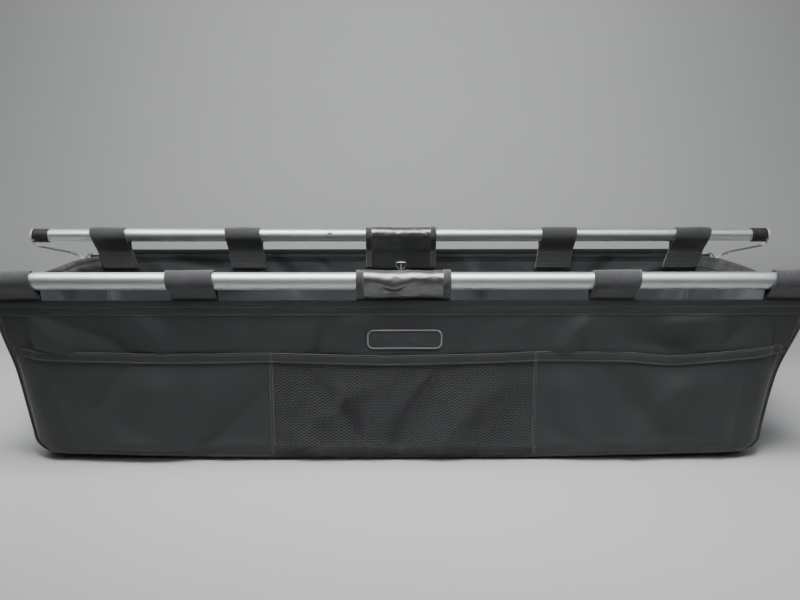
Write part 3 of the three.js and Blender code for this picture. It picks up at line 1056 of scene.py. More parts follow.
class CARGOBAR_OT_bar_ends(bpy.types.Operator):
    """Ribbed rubber caps and the pads that meet the bed walls"""

    bl_idname = "cargobar.bar_ends"
    bl_label = "Bar ends"

    def execute(self, context):
        for bar, _ in ENDS:
            for end in ("lock", "spring"):
                body = f"{bar}_{end}_end"
                self.cap(f"{bar}_{end}_end_cap", body)
                self.pad(f"{bar}_{end}_end_pad", body)
        return {"FINISHED"}

    def cap(self, node, body):
        low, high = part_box(node)
        hand = 1 if low.x > 0 else -1
        mouth = low.x if hand > 0 else high.x
        length = high.x - low.x
        radius = (high.z - low.z) / 2
        bore = 13.0 * MM
        wall_start = length - 3.7 * MM
        outline = [(wall_start, 0), (wall_start, bore), (0.4 * MM, bore), (0, bore + 0.3 * MM)]
        outline += [(0, radius - 0.9 * MM), (0.3 * MM, radius - 0.3 * MM), (0.9 * MM, radius)]
        outline += [(4 * MM, radius)]
        for k in range(5):
            start = (6 + 4 * k) * MM
            outline += [
                (start, radius), (start + 0.3 * MM, radius - 0.7 * MM),
                (start + 1.2 * MM, radius - 0.7 * MM), (start + 1.5 * MM, radius),
            ]
        outline += [
            (length - 2.2 * MM, radius), (length - 1.2 * MM, radius - 0.35 * MM),
            (length - 0.4 * MM, radius - 1.1 * MM), (length, radius - 2 * MM), (length, 0),
        ]
        form = Form()
        centre = (mouth, middle(node).y, BAR_Z)
        add_turned(form, centre, (hand, 0, 0), outline, 48)
        add_piece(form, f"{node}_moulding", "rubber", body, "rubber", node, sharp=50)

    def pad(self, node, body):
        low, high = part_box(node)
        hand = 1 if low.x > 0 else -1
        length = high.x - low.x
        radius = (high.z - low.z) / 2
        outline = [(0, 0), (0, radius - 0.5 * MM), (0.5 * MM, radius)]
        outline += [(length - 1.1 * MM, radius), (length - 0.4 * MM, radius - 0.35 * MM)]
        outline += [(length, radius - 1.2 * MM)]
        for k in range(4):
            inner = radius - (3 + 2.4 * k) * MM
            outline += [
                (length, inner + 0.6 * MM), (length - 0.5 * MM, inner + 0.3 * MM),
                (length - 0.5 * MM, inner - 0.3 * MM), (length, inner - 0.6 * MM),
            ]
        outline += [(length, 0)]
        form = Form()
        centre = (low.x if hand > 0 else high.x, middle(node).y, BAR_Z)
        add_turned(form, centre, (hand, 0, 0), outline, 48)
        add_piece(form, f"{node}_disc", "pad", body, "end_pad", node, sharp=50)


class CARGOBAR_OT_inner_works(bpy.types.Operator):
    """Cam hubs and rings, spring plugs and seats, rivets and push springs"""

    bl_idname = "cargobar.inner_works"
    bl_label = "Inner works"

    def execute(self, context):
        for bar, side in ENDS:
            for part in ("cam_hub", "cam_ring", "spring_plug", "spring_seat"):
                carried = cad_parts[f"{bar}_{part}"]
                carried.data.materials.clear()
                carried.data.materials.append(finish("nylon"))
            self.rivet(bar, side)
            self.spring(bar, side)
        return {"FINISHED"}

    def rivet(self, bar, side):
        """A domed head over the tube wall, its shank in the seat."""
        centre = middle(f"{bar}_spring_seat")
        tilt = math.radians(35)
        axis = Vector((0, -side * math.cos(tilt), math.sin(tilt)))
        outline = [(9.7, 0), (9.7, 2.4), (14.6, 2.4), (14.6, 4.3), (14.75, 4.5)]
        outline += [
            (14.75 + 1.35 * math.sin(a), 4.5 * math.cos(a)) for a in np.linspace(0.2, 1.45, 6)
        ]
        outline.append((16.1, 0))
        form = Form()
        add_turned(form, centre, axis, [(a * MM, r * MM) for a, r in outline], 24)
        add_piece(
            form, f"{bar}_rivet_turned", "zinc", SLING, "steel", f"{bar}_seat_rivet", sharp=40
        )

    def spring(self, bar, side):
        low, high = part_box(f"{bar}_push_spring")
        wire = 0.9 * MM
        coil_radius = (high.z - low.z) / 2 - wire
        fixed, moving = (high.x, low.x) if side > 0 else (low.x, high.x)
        hand = -1 if side > 0 else 1
        turns = 9
        centre = (low + high) / 2
        points = []
        for t in np.linspace(0, 1, turns * 20):
            angle = 2 * math.pi * turns * t
            # the coils stand a little further apart at both ends than in the middle
            reach = t + 0.25 * math.sin(2 * math.pi * t) / (2 * math.pi)
            x = fixed + hand * wire + reach * (moving - fixed - 2 * hand * wire)
            points.append((
                x, centre.y + coil_radius * math.cos(angle),
                BAR_Z + coil_radius * math.sin(angle),
            ))
        form = Form()
        add_wire(form, np.array(points), wire, 8)
        made = form.build(f"{bar}_coil_spring", ["spring_steel"])
        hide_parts(f"{bar}_push_spring")
        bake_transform(made)


# ---------------------------------------------------------------------------------------------
# Loops and wraps


# below the bar's axis: where a loop's two layers meet, and its upper row of stitches
LAYERS_MEET = -30.5 * MM
UPPER_ROW = -38 * MM


def tangent_point(y, z, radius, side):
    """Where a line from a point below a circle touches it."""
    return math.atan2(z, y) + side * math.acos(radius / math.hypot(y, z))


def loop_route(radius, outer_gap, inner_gap, meeting, foot):
    """The loop's middle line in (inside, up), from the bar's axis: up the wall, over, down."""
    start = tangent_point(outer_gap, meeting, radius, -1)
    end = tangent_point(inner_gap, meeting, radius, 1)
    over = np.linspace(start + 2 * math.pi if start < end else start, end, 26)
    if over[0] < over[-1]:
        over = over[::-1]
    route = [(outer_gap, z) for z in np.linspace(foot, meeting - 3 * MM, 6)]
    leg = (radius * math.cos(over[0]), radius * math.sin(over[0]))
    route += [
        (outer_gap + (leg[0] - outer_gap) * t, meeting + (leg[1] - meeting) * t)
        for t in (0.12, 0.4, 0.7)
    ]
    route += [(radius * math.cos(a), radius * math.sin(a)) for a in over]
    leg = (radius * math.cos(over[-1]), radius * math.sin(over[-1]))
    route += [
        (leg[0] + (inner_gap - leg[0]) * t, leg[1] + (meeting - leg[1]) * t)
        for t in (0.3, 0.6, 0.88)
    ]
    route += [(inner_gap, z) for z in np.linspace(meeting - 3 * MM, foot, 6)]
    return np.array(route)


class Loop:
    """A strip of webbing or vinyl taken round a bar: bar_side +1 is the rear one, -1 the front."""

    def __init__(self, bar_side, centre, lean, radius, gaps, foot, seed):
        self.bar_side = bar_side
        self.centre = centre
        self.lean = lean
        self.seed = seed
        route = loop_route(radius, *gaps, LAYERS_MEET, foot)
        line = np.column_stack([np.zeros(len(route)), route])
        line = smooth_path(line, 2.2 * MM)
        self.route = line[:, 1:]
        steps = unit_rows(np.gradient(self.route, axis=0))
        self.normals = np.column_stack([-steps[:, 1], steps[:, 0]])

    def point(self, k, across, out, ripple=0.0):
        """A point at step k of the route, across the width, that far off the middle line."""
        y, z = self.route[k]
        ny, nz = self.normals[k]
        bump = 0.0
        if ripple:
            bump = ripple * fold_noise(across * 1.3 + self.seed, k * 0.0035, self.seed, 22)
            bump *= smoothstep(-34 * MM, -20 * MM, z)
        out = out + bump
        shift = -math.copysign(1, self.centre) * self.lean * z / TAIL_FOOT if self.lean else 0.0
        return (
            self.centre + across + shift,
            self.bar_side * (BAR_Y - y - ny * out),
            BAR_Z + z + nz * out,
        )

    def strip(self, form, left, right, thickness, offset=0.0, edge=0.5 * MM, columns=13,
              ripple=0.0, crown=0.0, slot=0):
        """A strip between two places across the width, round-edged, closed all round."""
        half = thickness / 2
        places = np.linspace(left + edge, right - edge, columns)
        section = [(left, offset)]
        section += [(p, offset + half + crown * self.crowned(p, left, right)) for p in places]
        section += [(right, offset)]
        section += [(p, offset - half) for p in reversed(places)]
        rows = [
            [self.point(k, across, out, ripple) for across, out in section]
            for k in range(len(self.route))
        ]
        form.tube(np.array(rows), slot=slot)

    @staticmethod
    def crowned(place, left, right):
        t = 2 * (place - left) / (right - left) - 1
        return 1 - t * t

    def row_of_stitches(self, form, k_from, k_to, across, out, pitch):
        path = [self.point(k, across, out) for k in range(k_from, k_to)]
        lifted = [self.point(k, across, out + MM) for k in range(k_from, k_to)]
        add_stitches(form, path, np.array(lifted) - np.array(path), pitch)

    def cross_stitches(self, form, k, left, right, out, pitch):
        places = np.linspace(left, right, 14)
        path = [self.point(k, across, out) for across in places]
        lifted = [self.point(k, across, out + MM) for across in places]
        add_stitches(form, path, np.array(lifted) - np.array(path), pitch)

    def step_at(self, height, inside=True):
        """The step of the route nearest a height on the inner, or outer, layer."""
        order = range(len(self.route) - 1, -1, -1) if inside else range(len(self.route))
        return min(list(order)[:30], key=lambda k: abs(self.route[k][1] - height))


class CARGOBAR_OT_loops(bpy.types.Operator):
    """The eight hook-and-loop webbing loops"""

    bl_idname = "cargobar.loops"
    bl_label = "Webbing loops"

    def execute(self, context):
        pitch = context.scene.sling_webbing.stitch * 0.7
        for bar, side in ENDS:
            for hand in ("left", "right"):
                for place in ("mid", "end"):
                    self.loop(f"{bar}_{hand}_{place}_strap", side, pitch)
        return {"FINISHED"}

    def loop(self, node, side, pitch):
        low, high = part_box(node)
        lean = high.x - low.x - STRAP_WIDTH
        # the box runs from the leaning tail to the loop's top, so the top half gives the centre
        hand = 1 if low.x > 0 else -1
        reach = LOOP_RADIUS / -TAIL_FOOT
        full_lean = lean / (1 + reach)
        outer = high.x if hand > 0 else low.x
        centre = outer - hand * (STRAP_WIDTH / 2 + full_lean * reach)
        seed = centre * 7 + side * 3
        radius = LOOP_RADIUS - 1.1 * MM
        loop = Loop(
            side, centre, full_lean, radius, (1.4 * MM, 3.7 * MM), TAIL_FOOT, seed
        )
        half = STRAP_WIDTH / 2
        form = Form()
        loop.strip(form, -half, half, 2.0 * MM, ripple=1.3 * MM, crown=0.25 * MM, columns=21)
        add_piece(
            form, f"{node}_webbing", "loop_webbing", SLING, "hook_loop", node, sharp=70
        )
        form = Form()
        for height in (TAIL_FOOT + 4 * MM, TAIL_FOOT + 9 * MM, UPPER_ROW):
            step = loop.step_at(height)
            loop.cross_stitches(form, step, -half + 3 * MM, half - 3 * MM, 1.15 * MM, pitch)
        add_piece(form, f"{node}_stitches", "thread", SLING, "hook_loop")


class CARGOBAR_OT_wraps(bpy.types.Operator):
    """The two wide vinyl centre wraps, bound with webbing at both edges"""

    bl_idname = "cargobar.wraps"
    bl_label = "Centre wraps"

    def execute(self, context):
        pitch = context.scene.sling_webbing.stitch * 0.7
        for bar, side in ENDS:
            self.wrap(bar, side, pitch)
        return {"FINISHED"}

    def wrap(self, bar, side, pitch):
        radius = LOOP_RADIUS - 0.9 * MM
        half = WRAP_WIDTH / 2
        tape = 13 * MM
        loop = Loop(
            side, 0, 0, radius, (1.4 * MM, 3.6 * MM), TAIL_FOOT, 2.0 + side
        )
        self.crease = side < 0
        form = Form()
        self.panel(form, loop, half - 3 * MM)
        add_piece(
            form, f"{bar}_wrap_vinyl", "vinyl", SLING, "vinyl", f"{bar}_centre_wrap", sharp=70
        )
        form = Form()
        for left, right in ((-half, tape - half), (half - tape, half)):
            loop.strip(form, left, right, 2.4 * MM, offset=0.0, columns=7, ripple=0.9 * MM,
                       crown=0.3 * MM)
        add_piece(form, f"{bar}_wrap_binding", "loop_webbing", SLING, "hook_loop")
        form = Form()
        last = len(loop.route) - 2
        for across in (tape - half - 1.6 * MM, half - tape + 1.6 * MM):
            loop.row_of_stitches(form, 2, last, across, 1.35 * MM, pitch)
        for height in (TAIL_FOOT + 4 * MM, UPPER_ROW):
            step = loop.step_at(height)
            for left, right in ((-half + 2 * MM, tape - half), (half - tape, half - 2 * MM)):
                loop.cross_stitches(form, step, left, right, 1.4 * MM, pitch)
        add_piece(form, f"{bar}_wrap_stitches", "thread", SLING, "hook_loop")

    def panel(self, form, loop, half):
        """The vinyl, with soft folds that fade out where the layers meet."""
        thickness = 1.4 * MM
        places = np.linspace(-half, half, 64)
        rows = []
        for k, (y, z) in enumerate(loop.route):
            free = smoothstep(-33 * MM, -18 * MM, z)
            swell = []
            for place in places:
                inset = smoothstep(half, half - 16 * MM, abs(place))
                wave = fold_noise(place * 1.4, k * 0.004, loop.seed, 24)
                wave += 0.5 * fold_noise(place * 2.2 + 3, k * 0.008, loop.seed, 42)
                rise = 1.1 * MM * wave
                if self.crease:
                    rise += self.ridge(place, y, z)
                swell.append(free * inset * rise)
            top = [
                loop.point(k, place, thickness / 2 + rise) for place, rise in zip(places, swell)
            ]
            back = [
                loop.point(k, place, -thickness / 2 + max(rise, -0.2 * MM))
                for place, rise in zip(places[::-1], swell[::-1])
            ]
            rows.append(top + back)
        form.tube(np.array(rows))

    @staticmethod
    def ridge(place, y, z):
        """A soft point of fullness low on the outer side, left of the middle."""
        if y > 0:
            return 0.0
        along = place + 16 * MM
        dip = abs(along) * 0.32
        drop = z + 8 * MM - dip
        reach = 11 * MM if drop > 0 else 3.4 * MM
        return 3.4 * MM * math.exp(-(drop / reach) ** 2) * math.exp(-(along / (40 * MM)) ** 2)


# ---------------------------------------------------------------------------------------------
# Sling walls. One set of functions places every layer of cloth.


def half_length(z, hand):
    """How far the sling reaches along X at a height, at one end. It hangs a little unevenly."""
    straight = HALF_FOOT + (HALF_TOP - HALF_FOOT) * z / HEM_Z
    if hand > 0:
        return straight - 10 * MM * math.sin(math.pi * min(1, max(0, z / HEM_Z)))
    return straight + 14 * MM * (1 - z / HEM_Z)


def corner_round(z):
    """How far a bottom corner is drawn in by its rounding."""
    return 34 * MM * max(0.0, 1 - z / (38 * MM)) ** 2.5


def foot_lift(x, y):
    """The floor's corners hang a little higher than its middle."""
    return 10 * MM * min(1, abs(x) / HALF_FOOT) ** 2.5 * min(1, abs(y) / WALL_MID) ** 2


def hem_drop(x, y):
    """The rear top corners hang lower than the rest of the hem, which the loops hold up."""
    along = smoothstep(0.585, 0.66, abs(x))
    across = min(1, max(0.0, (y - 10 * MM) / (WALL_MID - 10 * MM))) ** 2
    return 15 * MM * along * across


def dropped(x, y, z):
    """A cloth point's height after the hem's drop and the floor's lift."""
    fall = hem_drop(x, y) * smoothstep(0.35, 1, z / HEM_Z)
    return z - fall + foot_lift(x, y) * (1 - smoothstep(0, 45 * MM, z))


# soft folds of the front wall: (x, z) of both ends in mm, half width, height
FRONT_FOLDS = (
    (-545, 262, -470, 205, 20, -4.5), (-610, 250, -560, 200, 22, 3.5),
    (-120, 250, -142, 190, 12, -4.0), (-70, 245, -60, 200, 30, 2.5), (34, 248, 22, 215, 7, -2.2),
    (300, 250, 262, 195, 16, 3.5), (455, 200, 402, 206, 22, -4.5), (500, 250, 440, 235, 16, 3.0),
    (205, 246, 190, 232, 6, 1.8), (-232, 246, -250, 226, 8, -2.4), (-420, 245, -400, 205, 18, 3.0),
    (120, 246, 100, 200, 18, -2.5), (560, 250, 530, 205, 14, -3.0),
)

# and of the pockets and the net
POCKET_FOLDS = (
    (-335, 22, -232, 118, 15, -5.5), (-420, 150, -395, 50, 30, 3.5), (-520, 60, -440, 20, 22, 3.0),
    (-585, 120, -560, 30, 18, -4.5), (-300, 150, -330, 90, 18, 2.5),
    (-470, 150, -500, 100, 14, -3.0),
    (-150, 150, -75, 60, 16, -3.5), (-40, 155, -120, 90, 14, 3.0), (60, 150, -10, 40, 18, -4.0),
    (150, 150, 75, 45, 20, 3.5), (195, 120, 120, 20, 12, -2.5), (-190, 60, -130, 15, 14, 3.0),
    (255, 140, 300, 40, 24, 3.5), (345, 150, 420, 60, 22, -4.0), (450, 120, 380, 20, 20, 3.0),
    (500, 150, 525, 60, 18, 2.5), (570, 150, 560, 25, 16, -5.5), (300, 30, 240, 60, 12, -2.0),
)


FOLD_GAIN = 1.9
FOLD_END = 1.6


def fold_sum(x, z, folds):
    """The height of a set of folds at a place: each a soft ridge along its own line."""
    total = 0.0
    for x0, z0, x1, z1, width, height in folds:
        ax, az = x0 * MM, z0 * MM
        dx, dz = x1 * MM - ax, z1 * MM - az
        length = dx * dx + dz * dz
        t = ((x - ax) * dx + (z - az) * dz) / length
        over = max(0.0, -t, t - 1) * math.sqrt(length)
        aside = abs((x - ax) * dz - (z - az) * dx) / math.sqrt(length)
        spread = width * MM
        fade = (aside / spread) ** 2 + (over / (FOLD_END * spread)) ** 2
        total += FOLD_GAIN * height * MM * math.exp(-fade)
    return total


def folds(x, z, side):
    """Soft unevenness of a hanging wall, 0 to about 1, quiet near the hem and the floor."""
    broad = 0.5 + 0.5 * noise.noise(Vector((x * 5.2 + side * 9, z * 7, 1.7)))
    slanting = 0.5 + 0.5 * noise.noise(Vector(((x + 0.7 * z) * 13, (x - z) * 3.5, side * 4.1)))
    small = 0.5 + 0.5 * noise.noise(Vector((x * 24, z * 30, side * 2.3)))
    quiet = smoothstep(HEM_Z - 18 * MM, HEM_Z - 60 * MM, z) * 0.85 + 0.15
    return (0.4 * broad + 0.4 * slanting + 0.2 * small) * quiet * smoothstep(0, 40 * MM, z)


def wall_line(x, z, side, slack):
    """How far the middle of the cloth stands from the sling's middle at a long wall."""
    hand = 1 if x > 0 else -1
    edge = half_length(z, hand) - 52 * MM
    turn = min(1.2, max(0.0, (abs(x) - edge) / (52 * MM)))
    below_hem = smoothstep(HEM_Z - 34 * MM, HEM_Z - 135 * MM, z)
    line = WALL_MID - 19 * MM * turn * turn * below_hem
    # the pleat where the cloth leaves the end loop
    pleat = math.exp(-((abs(x) - 0.603 - 0.05 * (HEM_Z - z)) / (6.5 * MM)) ** 2)
    line -= 6 * MM * pleat * smoothstep(HEM_Z - 34 * MM, HEM_Z - 52 * MM, z) * smoothstep(
        150 * MM, 205 * MM, z
    )
    line += 3.2 * MM * math.exp(-((z - 24 * MM) / (13 * MM)) ** 2)
    waves = slack * folds(x, z, side)
    if side < 0:
        if slack:
            waves += fold_sum(x, z, FRONT_FOLDS) * smoothstep(HEM_Z - 16 * MM, HEM_Z - 40 * MM, z)
        mouth = mouth_height(x)
        waves *= smoothstep(mouth - 12 * MM, mouth + 5 * MM, z)
        # the sewn patch stiffens the cloth behind it
        patched = smoothstep(100 * MM, 56 * MM, abs(x - 2 * MM)) * smoothstep(
            34 * MM, 14 * MM, abs(z - 209 * MM)
        )
        waves *= 1 - 0.85 * patched
    elif slack:
        waves += 0.9 * fold_sum(-x + 0.03, z, FRONT_FOLDS)
        waves *= smoothstep(HEM_Z - 2 * MM, HEM_Z - 34 * MM, z)
    # it can't sink into the loops' tails, which lie against its inner side
    waves = max(waves, -12 * MM * (1 - smoothstep(200 * MM, 233 * MM, z)))
    return line + waves * (1 - min(1, turn))


def end_line(y, z, hand, slack):
    """How far the middle of the cloth stands out along X at an end."""
    bow = max(0.0, 1 - (y / WALL_MID) ** 2)
    swell = 12 * MM * bow * (0.35 + 0.65 * z / HEM_Z)
    ripple = noise.noise(Vector((y * 9 + hand, z * 8, hand * 3.0)))
    ripple += 0.8 * noise.noise(Vector(((y + 0.8 * z) * 17, (y - z) * 5, hand * 6.0)))
    drawn = corner_round(z) * (0.3 + 0.7 * min(1, abs(y) / WALL_MID) ** 2)
    line = half_length(z, hand) - 1.5 * MM + swell - drawn
    return line + slack * ripple * bow * smoothstep(0, 40 * MM, z)


def wall_corner(z, hand, side):
    """Where a wall's cloth meets an end's, at the corner seam: (x, y)."""
    x = hand * (half_length(z, hand) - corner_round(z))
    return x, side * wall_line(x, z, side, 0)


def outline_at(z, slack, step):
    """The sling's closed outline at one height, in even steps, anticlockwise from above."""
    across = max(3, round(2 * HALF_TOP / step))
    down = max(3, round(2 * WALL_MID / step))

    def wall(side, start, end):
        places = np.linspace(start, end, across, endpoint=False)
        return [(x, side * wall_line(x, z, side, slack), z) for x in places]

    def end(hand, start, stop):
        places = np.linspace(start, stop, down, endpoint=False)
        return [(hand * end_line(y, z, hand, slack), y, z) for y in places]

    front_left, front_right = wall_corner(z, -1, -1), wall_corner(z, 1, -1)
    rear_left, rear_right = wall_corner(z, -1, 1), wall_corner(z, 1, 1)
    points = wall(-1, front_left[0], front_right[0]) + end(1, front_right[1], rear_right[1])
    points += wall(1, rear_right[0], rear_left[0]) + end(-1, rear_left[1], front_left[1])
    return [(x, y, dropped(x, y, z)) for x, y, z in points]


class CARGOBAR_OT_sling_body(bpy.types.Operator):
    """The sling itself: walls, ends and floor as one lofted shell of cloth"""

    bl_idname = "cargobar.sling_body"
    bl_label = "Sling body"

    def execute(self, context):
        cloth = context.scene.sling_fabric
        heights = list(np.linspace(HEM_Z - 1 * MM, 12 * MM, 42))
        rows = [outline_at(z, cloth.slack, cloth.grid) for z in heights]
        lowest = np.array(rows[-1])
        # the walls turn under into the floor panel
        for inset, z in ((0.8 * MM, 6.5 * MM), (3 * MM, 3.2 * MM), (8 * MM, 1.4 * MM)):
            row = lowest.copy()
            row[:, 0] -= np.sign(row[:, 0]) * inset * (np.abs(row[:, 0]) > HALF_FOOT - 45 * MM)
            row[:, 1] -= np.sign(row[:, 1]) * inset * (np.abs(row[:, 1]) > WALL_MID - 25 * MM)
            row[:, 2] = [z + foot_lift(x, y) for x, y, _ in row]
            rows.append(row)
        form = Form()
        form.grid(np.array([np.array(row) for row in rows]), close_columns=True)
        form.grid(self.floor_panel(np.array(rows[-1]), cloth.grid))
        made = form.build("sling_shell", ["sling_cloth", "lining"])
        self.thicken(made, cloth.thickness)
        settle(
            made, SLING, "polyester",
            "front_wall", "rear_wall", "left_wall", "right_wall", "base",
        )
        wall = size("front_wall").z
        area = 4 * HALF_FOOT * WALL_MID
        area += 2 * (HALF_FOOT + HALF_TOP) * wall
        area += 4 * WALL_MID * math.hypot(wall, HALF_TOP - HALF_FOOT)
        return {"FINISHED"}

    def floor_panel(self, edge, step):
        """A grid of cloth inside a closed outline, lying in shallow waves."""
        across = max(3, round(2 * HALF_TOP / step))
        down = max(3, round(2 * WALL_MID / step))
        front = edge[:across + 1]
        right = edge[across:across + down + 1]
        rear = edge[across + down:2 * across + down + 1][::-1]
        left = np.vstack([edge[2 * across + down:], edge[:1]])[::-1]
        s = np.linspace(0, 1, across + 1)[:, None, None]
        t = np.linspace(0, 1, down + 1)[None, :, None]
        grid = (1 - t) * front[:, None] + t * rear[:, None]
        grid = grid + (1 - s) * left[None] + s * right[None]
        grid = grid - (1 - s) * (1 - t) * front[0] - s * (1 - t) * front[-1]
        grid = grid - (1 - s) * t * rear[0] - s * t * rear[-1]
        for i in range(1, across):
            for j in range(1, down):
                x, y, _ = grid[i, j]
                rim = min(1, min(i, j, across - i, down - j) / 6)
                wave = 0.5 + 0.5 * fold_noise(x, y, 0.5, 7)
                grid[i, j, 2] = 1.4 * MM + foot_lift(x, y) + rim * 2.4 * MM * wave
        return grid

    def thicken(self, made, thickness):
        """Gives the shell its cloth thickness, with the lining inside."""
        work = bmesh.new()
        work.from_mesh(made.data)
        bmesh.ops.remove_doubles(work, verts=work.verts, dist=0.05 * MM)
        bmesh.ops.recalc_face_normals(work, faces=work.faces)
        under = [f for f in work.faces if f.calc_center_median().z < 5 * MM]
        if sum(f.normal.z * f.calc_area() for f in under) > 0:
            bmesh.ops.reverse_faces(work, faces=work.faces)
        work.to_mesh(made.data)
        work.free()
        solid = made.modifiers.new("cloth", "SOLIDIFY")
        solid.thickness = thickness
        solid.offset = 0
        solid.material_offset = 1


class CARGOBAR_OT_hems(bpy.types.Operator):
    """Turned hems round the sling's top edge, with two rows of stitches"""

    bl_idname = "cargobar.hems"
    bl_label = "Hems"

    # outer face of the fold, from its top edge down, in mm: (depth, height off the cloth);
    # the two low places are the rows of stitches
    PROFILE = (
        (0.3, 0.5), (1.2, 1.3), (3.5, 1.8), (6.5, 1.8), (9.3, 1.4), (11.2, 0.55), (13.0, 1.4),
        (16.0, 1.75), (19.0, 1.65), (21.6, 1.3), (23.4, 0.6), (24.6, 1.0), (25.3, 0.2),
    )
    ROWS = (11.2, 23.4)

    def execute(self, context):
        self.cloth = context.scene.sling_fabric
        self.pitch = context.scene.sling_webbing.stitch
        slack = self.cloth.slack
        for name, side in (("front", -1), ("rear", 1)):
            places = np.linspace(-(HALF_TOP - 1 * MM), HALF_TOP - 1 * MM, 380)
            self.hem(
                name, [lambda z, x=x: (x, side * wall_line(x, z, side, slack)) for x in places],
                (0, side, 0),
            )
        for name, hand in (("left", -1), ("right", 1)):
            reach = WALL_MID - 4 * MM
            places = np.linspace(-reach, reach, 150)
            self.hem(
                f"{name}_end",
                [lambda z, y=y: (hand * end_line(y, z, hand, slack), y) for y in places],
                (hand, 0, 0),
            )
        return {"FINISHED"}

    def place(self, station, away, depth, out):
        z = HEM_Z - depth * MM
        x, y = station(z)
        return np.array((x, y, dropped(x, y, z))) + out * away

    def hem(self, name, stations, out):
        """A fold of cloth over the wall's edge: its section, carried along the stations."""
        out = np.array(out, float)
        half = self.cloth.thickness / 2
        section = [(half + height * MM, depth, 1) for depth, height in reversed(self.PROFILE)]
        section += [(0.4 * half, -0.2, 0), (-0.4 * half, -0.2, 0)]
        section += [(-half - height * MM, depth, -1) for depth, height in self.PROFILE]
        section += [(-half + 0.1 * MM, 25.3, 0), (-half + 0.1 * MM, 1.6, 0)]
        section += [(half - 0.1 * MM, 1.6, 0), (half - 0.1 * MM, 25.3, 0)]
        rows = []
        for station in stations:
            row = []
            for away, depth, face in section:
                point = self.place(station, away, depth, out)
                if face:
                    point += out * face * self.pucker(point, depth, face)
                row.append(point)
            rows.append(row)
        form = Form()
        form.tube(np.array(rows))
        add_piece(form, f"{name}_hem", "sling_cloth", SLING, "polyester", sharp=60)
        form = Form()
        for depth in self.ROWS:
            for face in (1, -1):
                path = [
                    self.place(station, face * (half + 0.75 * MM), depth, out)
                    for station in stations
                ]
                add_stitches(form, path, [out * face] * len(path), self.pitch)
        add_piece(form, f"{name}_hem_stitches", "thread", SLING, "polyester")

    @staticmethod
    def pucker(point, depth, face):
        """Small slanting gathers between the rows of stitches."""
        along = point[0] + point[1]
        slant = noise.noise(Vector(((along + 0.0007 * depth) * 85, depth * 0.09, face * 3.0)))
        broad = noise.noise(Vector((along * 21, depth * 0.05, face * 5.0)))
        between = min(abs(depth - 11.2), abs(depth - 23.4), 5) / 5
        return (0.75 * MM * slant + 0.5 * MM * broad) * between


PIPING_RADIUS = 2.1 * MM


class CARGOBAR_OT_piping(bpy.types.Operator):
    """Corded seams down the corners and along the floor"""

    bl_idname = "cargobar.piping"
    bl_label = "Piping"

    def execute(self, context):
        slack = context.scene.sling_fabric.slack
        for name, side in (("front", -1), ("rear", 1)):
            path = self.route(side, slack)
            form = Form()
            add_wire(form, path, PIPING_RADIUS, 10)
            add_piece(form, f"{name}_piping", "binding", SLING, "polyester")
            self.flange(name, path, side, context.scene.sling_webbing.stitch)
        return {"FINISHED"}

    def route(self, side, slack):
        """Down one corner, along the foot of the wall and up the other corner."""
        def corner(z, hand):
            x, y = wall_corner(z, hand, side)
            return (x + hand * 1.2 * MM, y + side * 0.6 * MM, dropped(x, y, z))

        heights = np.concatenate([
            np.linspace(HEM_Z - 3 * MM, 40 * MM, 20), (31 * MM, 23 * MM, 16 * MM, 10.5 * MM)
        ])
        points = [corner(z, -1) for z in heights]
        foot = 5.6 * MM
        start, stop = corner(foot, -1)[0] + 9 * MM, corner(foot, 1)[0] - 9 * MM
        for x in np.linspace(start, stop, 90):
            y = side * (wall_line(x, foot, side, slack) - 0.4 * MM)
            sag = 0.8 * MM * abs(fold_noise(x, side, 0.3, 6))
            points.append((x, y, foot + foot_lift(x, y) + sag))
        points += [corner(z, 1) for z in heights[::-1]]
        return smooth_path(points, 5 * MM)

    def flange(self, name, path, side, pitch):
        """The seam's stitched edge, just inside the cord."""
        centre = np.array((0, side * WALL_MID, 0.17))
        inward = centre - path
        inward[:, 1] = 0
        inward = unit_rows(inward)
        tangents = unit_rows(np.gradient(path, axis=0))
        inward -= tangents * np.sum(inward * tangents, axis=1)[:, None]
        inward = unit_rows(inward)
        out = np.array((0, side, 0), float)
        rows = []
        for point, way in zip(path, inward):
            face = point + out * 0.5 * MM
            rows.append([
                face + way * 1.2 * MM, face + way * 1.2 * MM + out * 1.1 * MM,
                face + way * 4.5 * MM + out * 1.0 * MM, face + way * 8.2 * MM + out * 0.9 * MM,
                face + way * 8.6 * MM + out * 0.3 * MM, face + way * 8.6 * MM,
            ])
        form = Form()
        form.tube(np.array(rows))
        add_piece(form, f"{name}_seam_tape", "binding", SLING, "polyester", sharp=60)
        form = Form()
        line = path + inward * 5.6 * MM + out * 1.6 * MM
        add_stitches(form, line, [out] * len(line), pitch)
        add_piece(form, f"{name}_seam_stitches", "thread", SLING, "polyester")


# ---------------------------------------------------------------------------------------------
# Pockets


# where the top edge of the pockets' band lies: (x, z) in mm
MOUTH = (
    (-650, 202), (-627, 197.3), (-595, 191.5), (-540, 189.2), (-481, 187.9), (-385, 186.0),
    (-300, 186.6), (-226, 187.4), (-130, 185.0), (-32, 182.4), (60, 183.4), (150, 186.0),
    (224, 188.9), (300, 188.6), (374, 187.0), (420, 182.4), (450, 182.0), (487, 185.0),
    (530, 188.4), (568, 191.6), (618, 199.5), (650, 205),
)
BAND = 17.5 * MM
POCKET_LOW = 6 * MM
POCKET_TOP = 170 * MM


def mouth_height(x):
    """The height of the pockets' mouths: the band sags between its fixings."""
    places, heights = zip(*MOUTH)
    return float(np.interp(x / MM, places, heights)) * MM


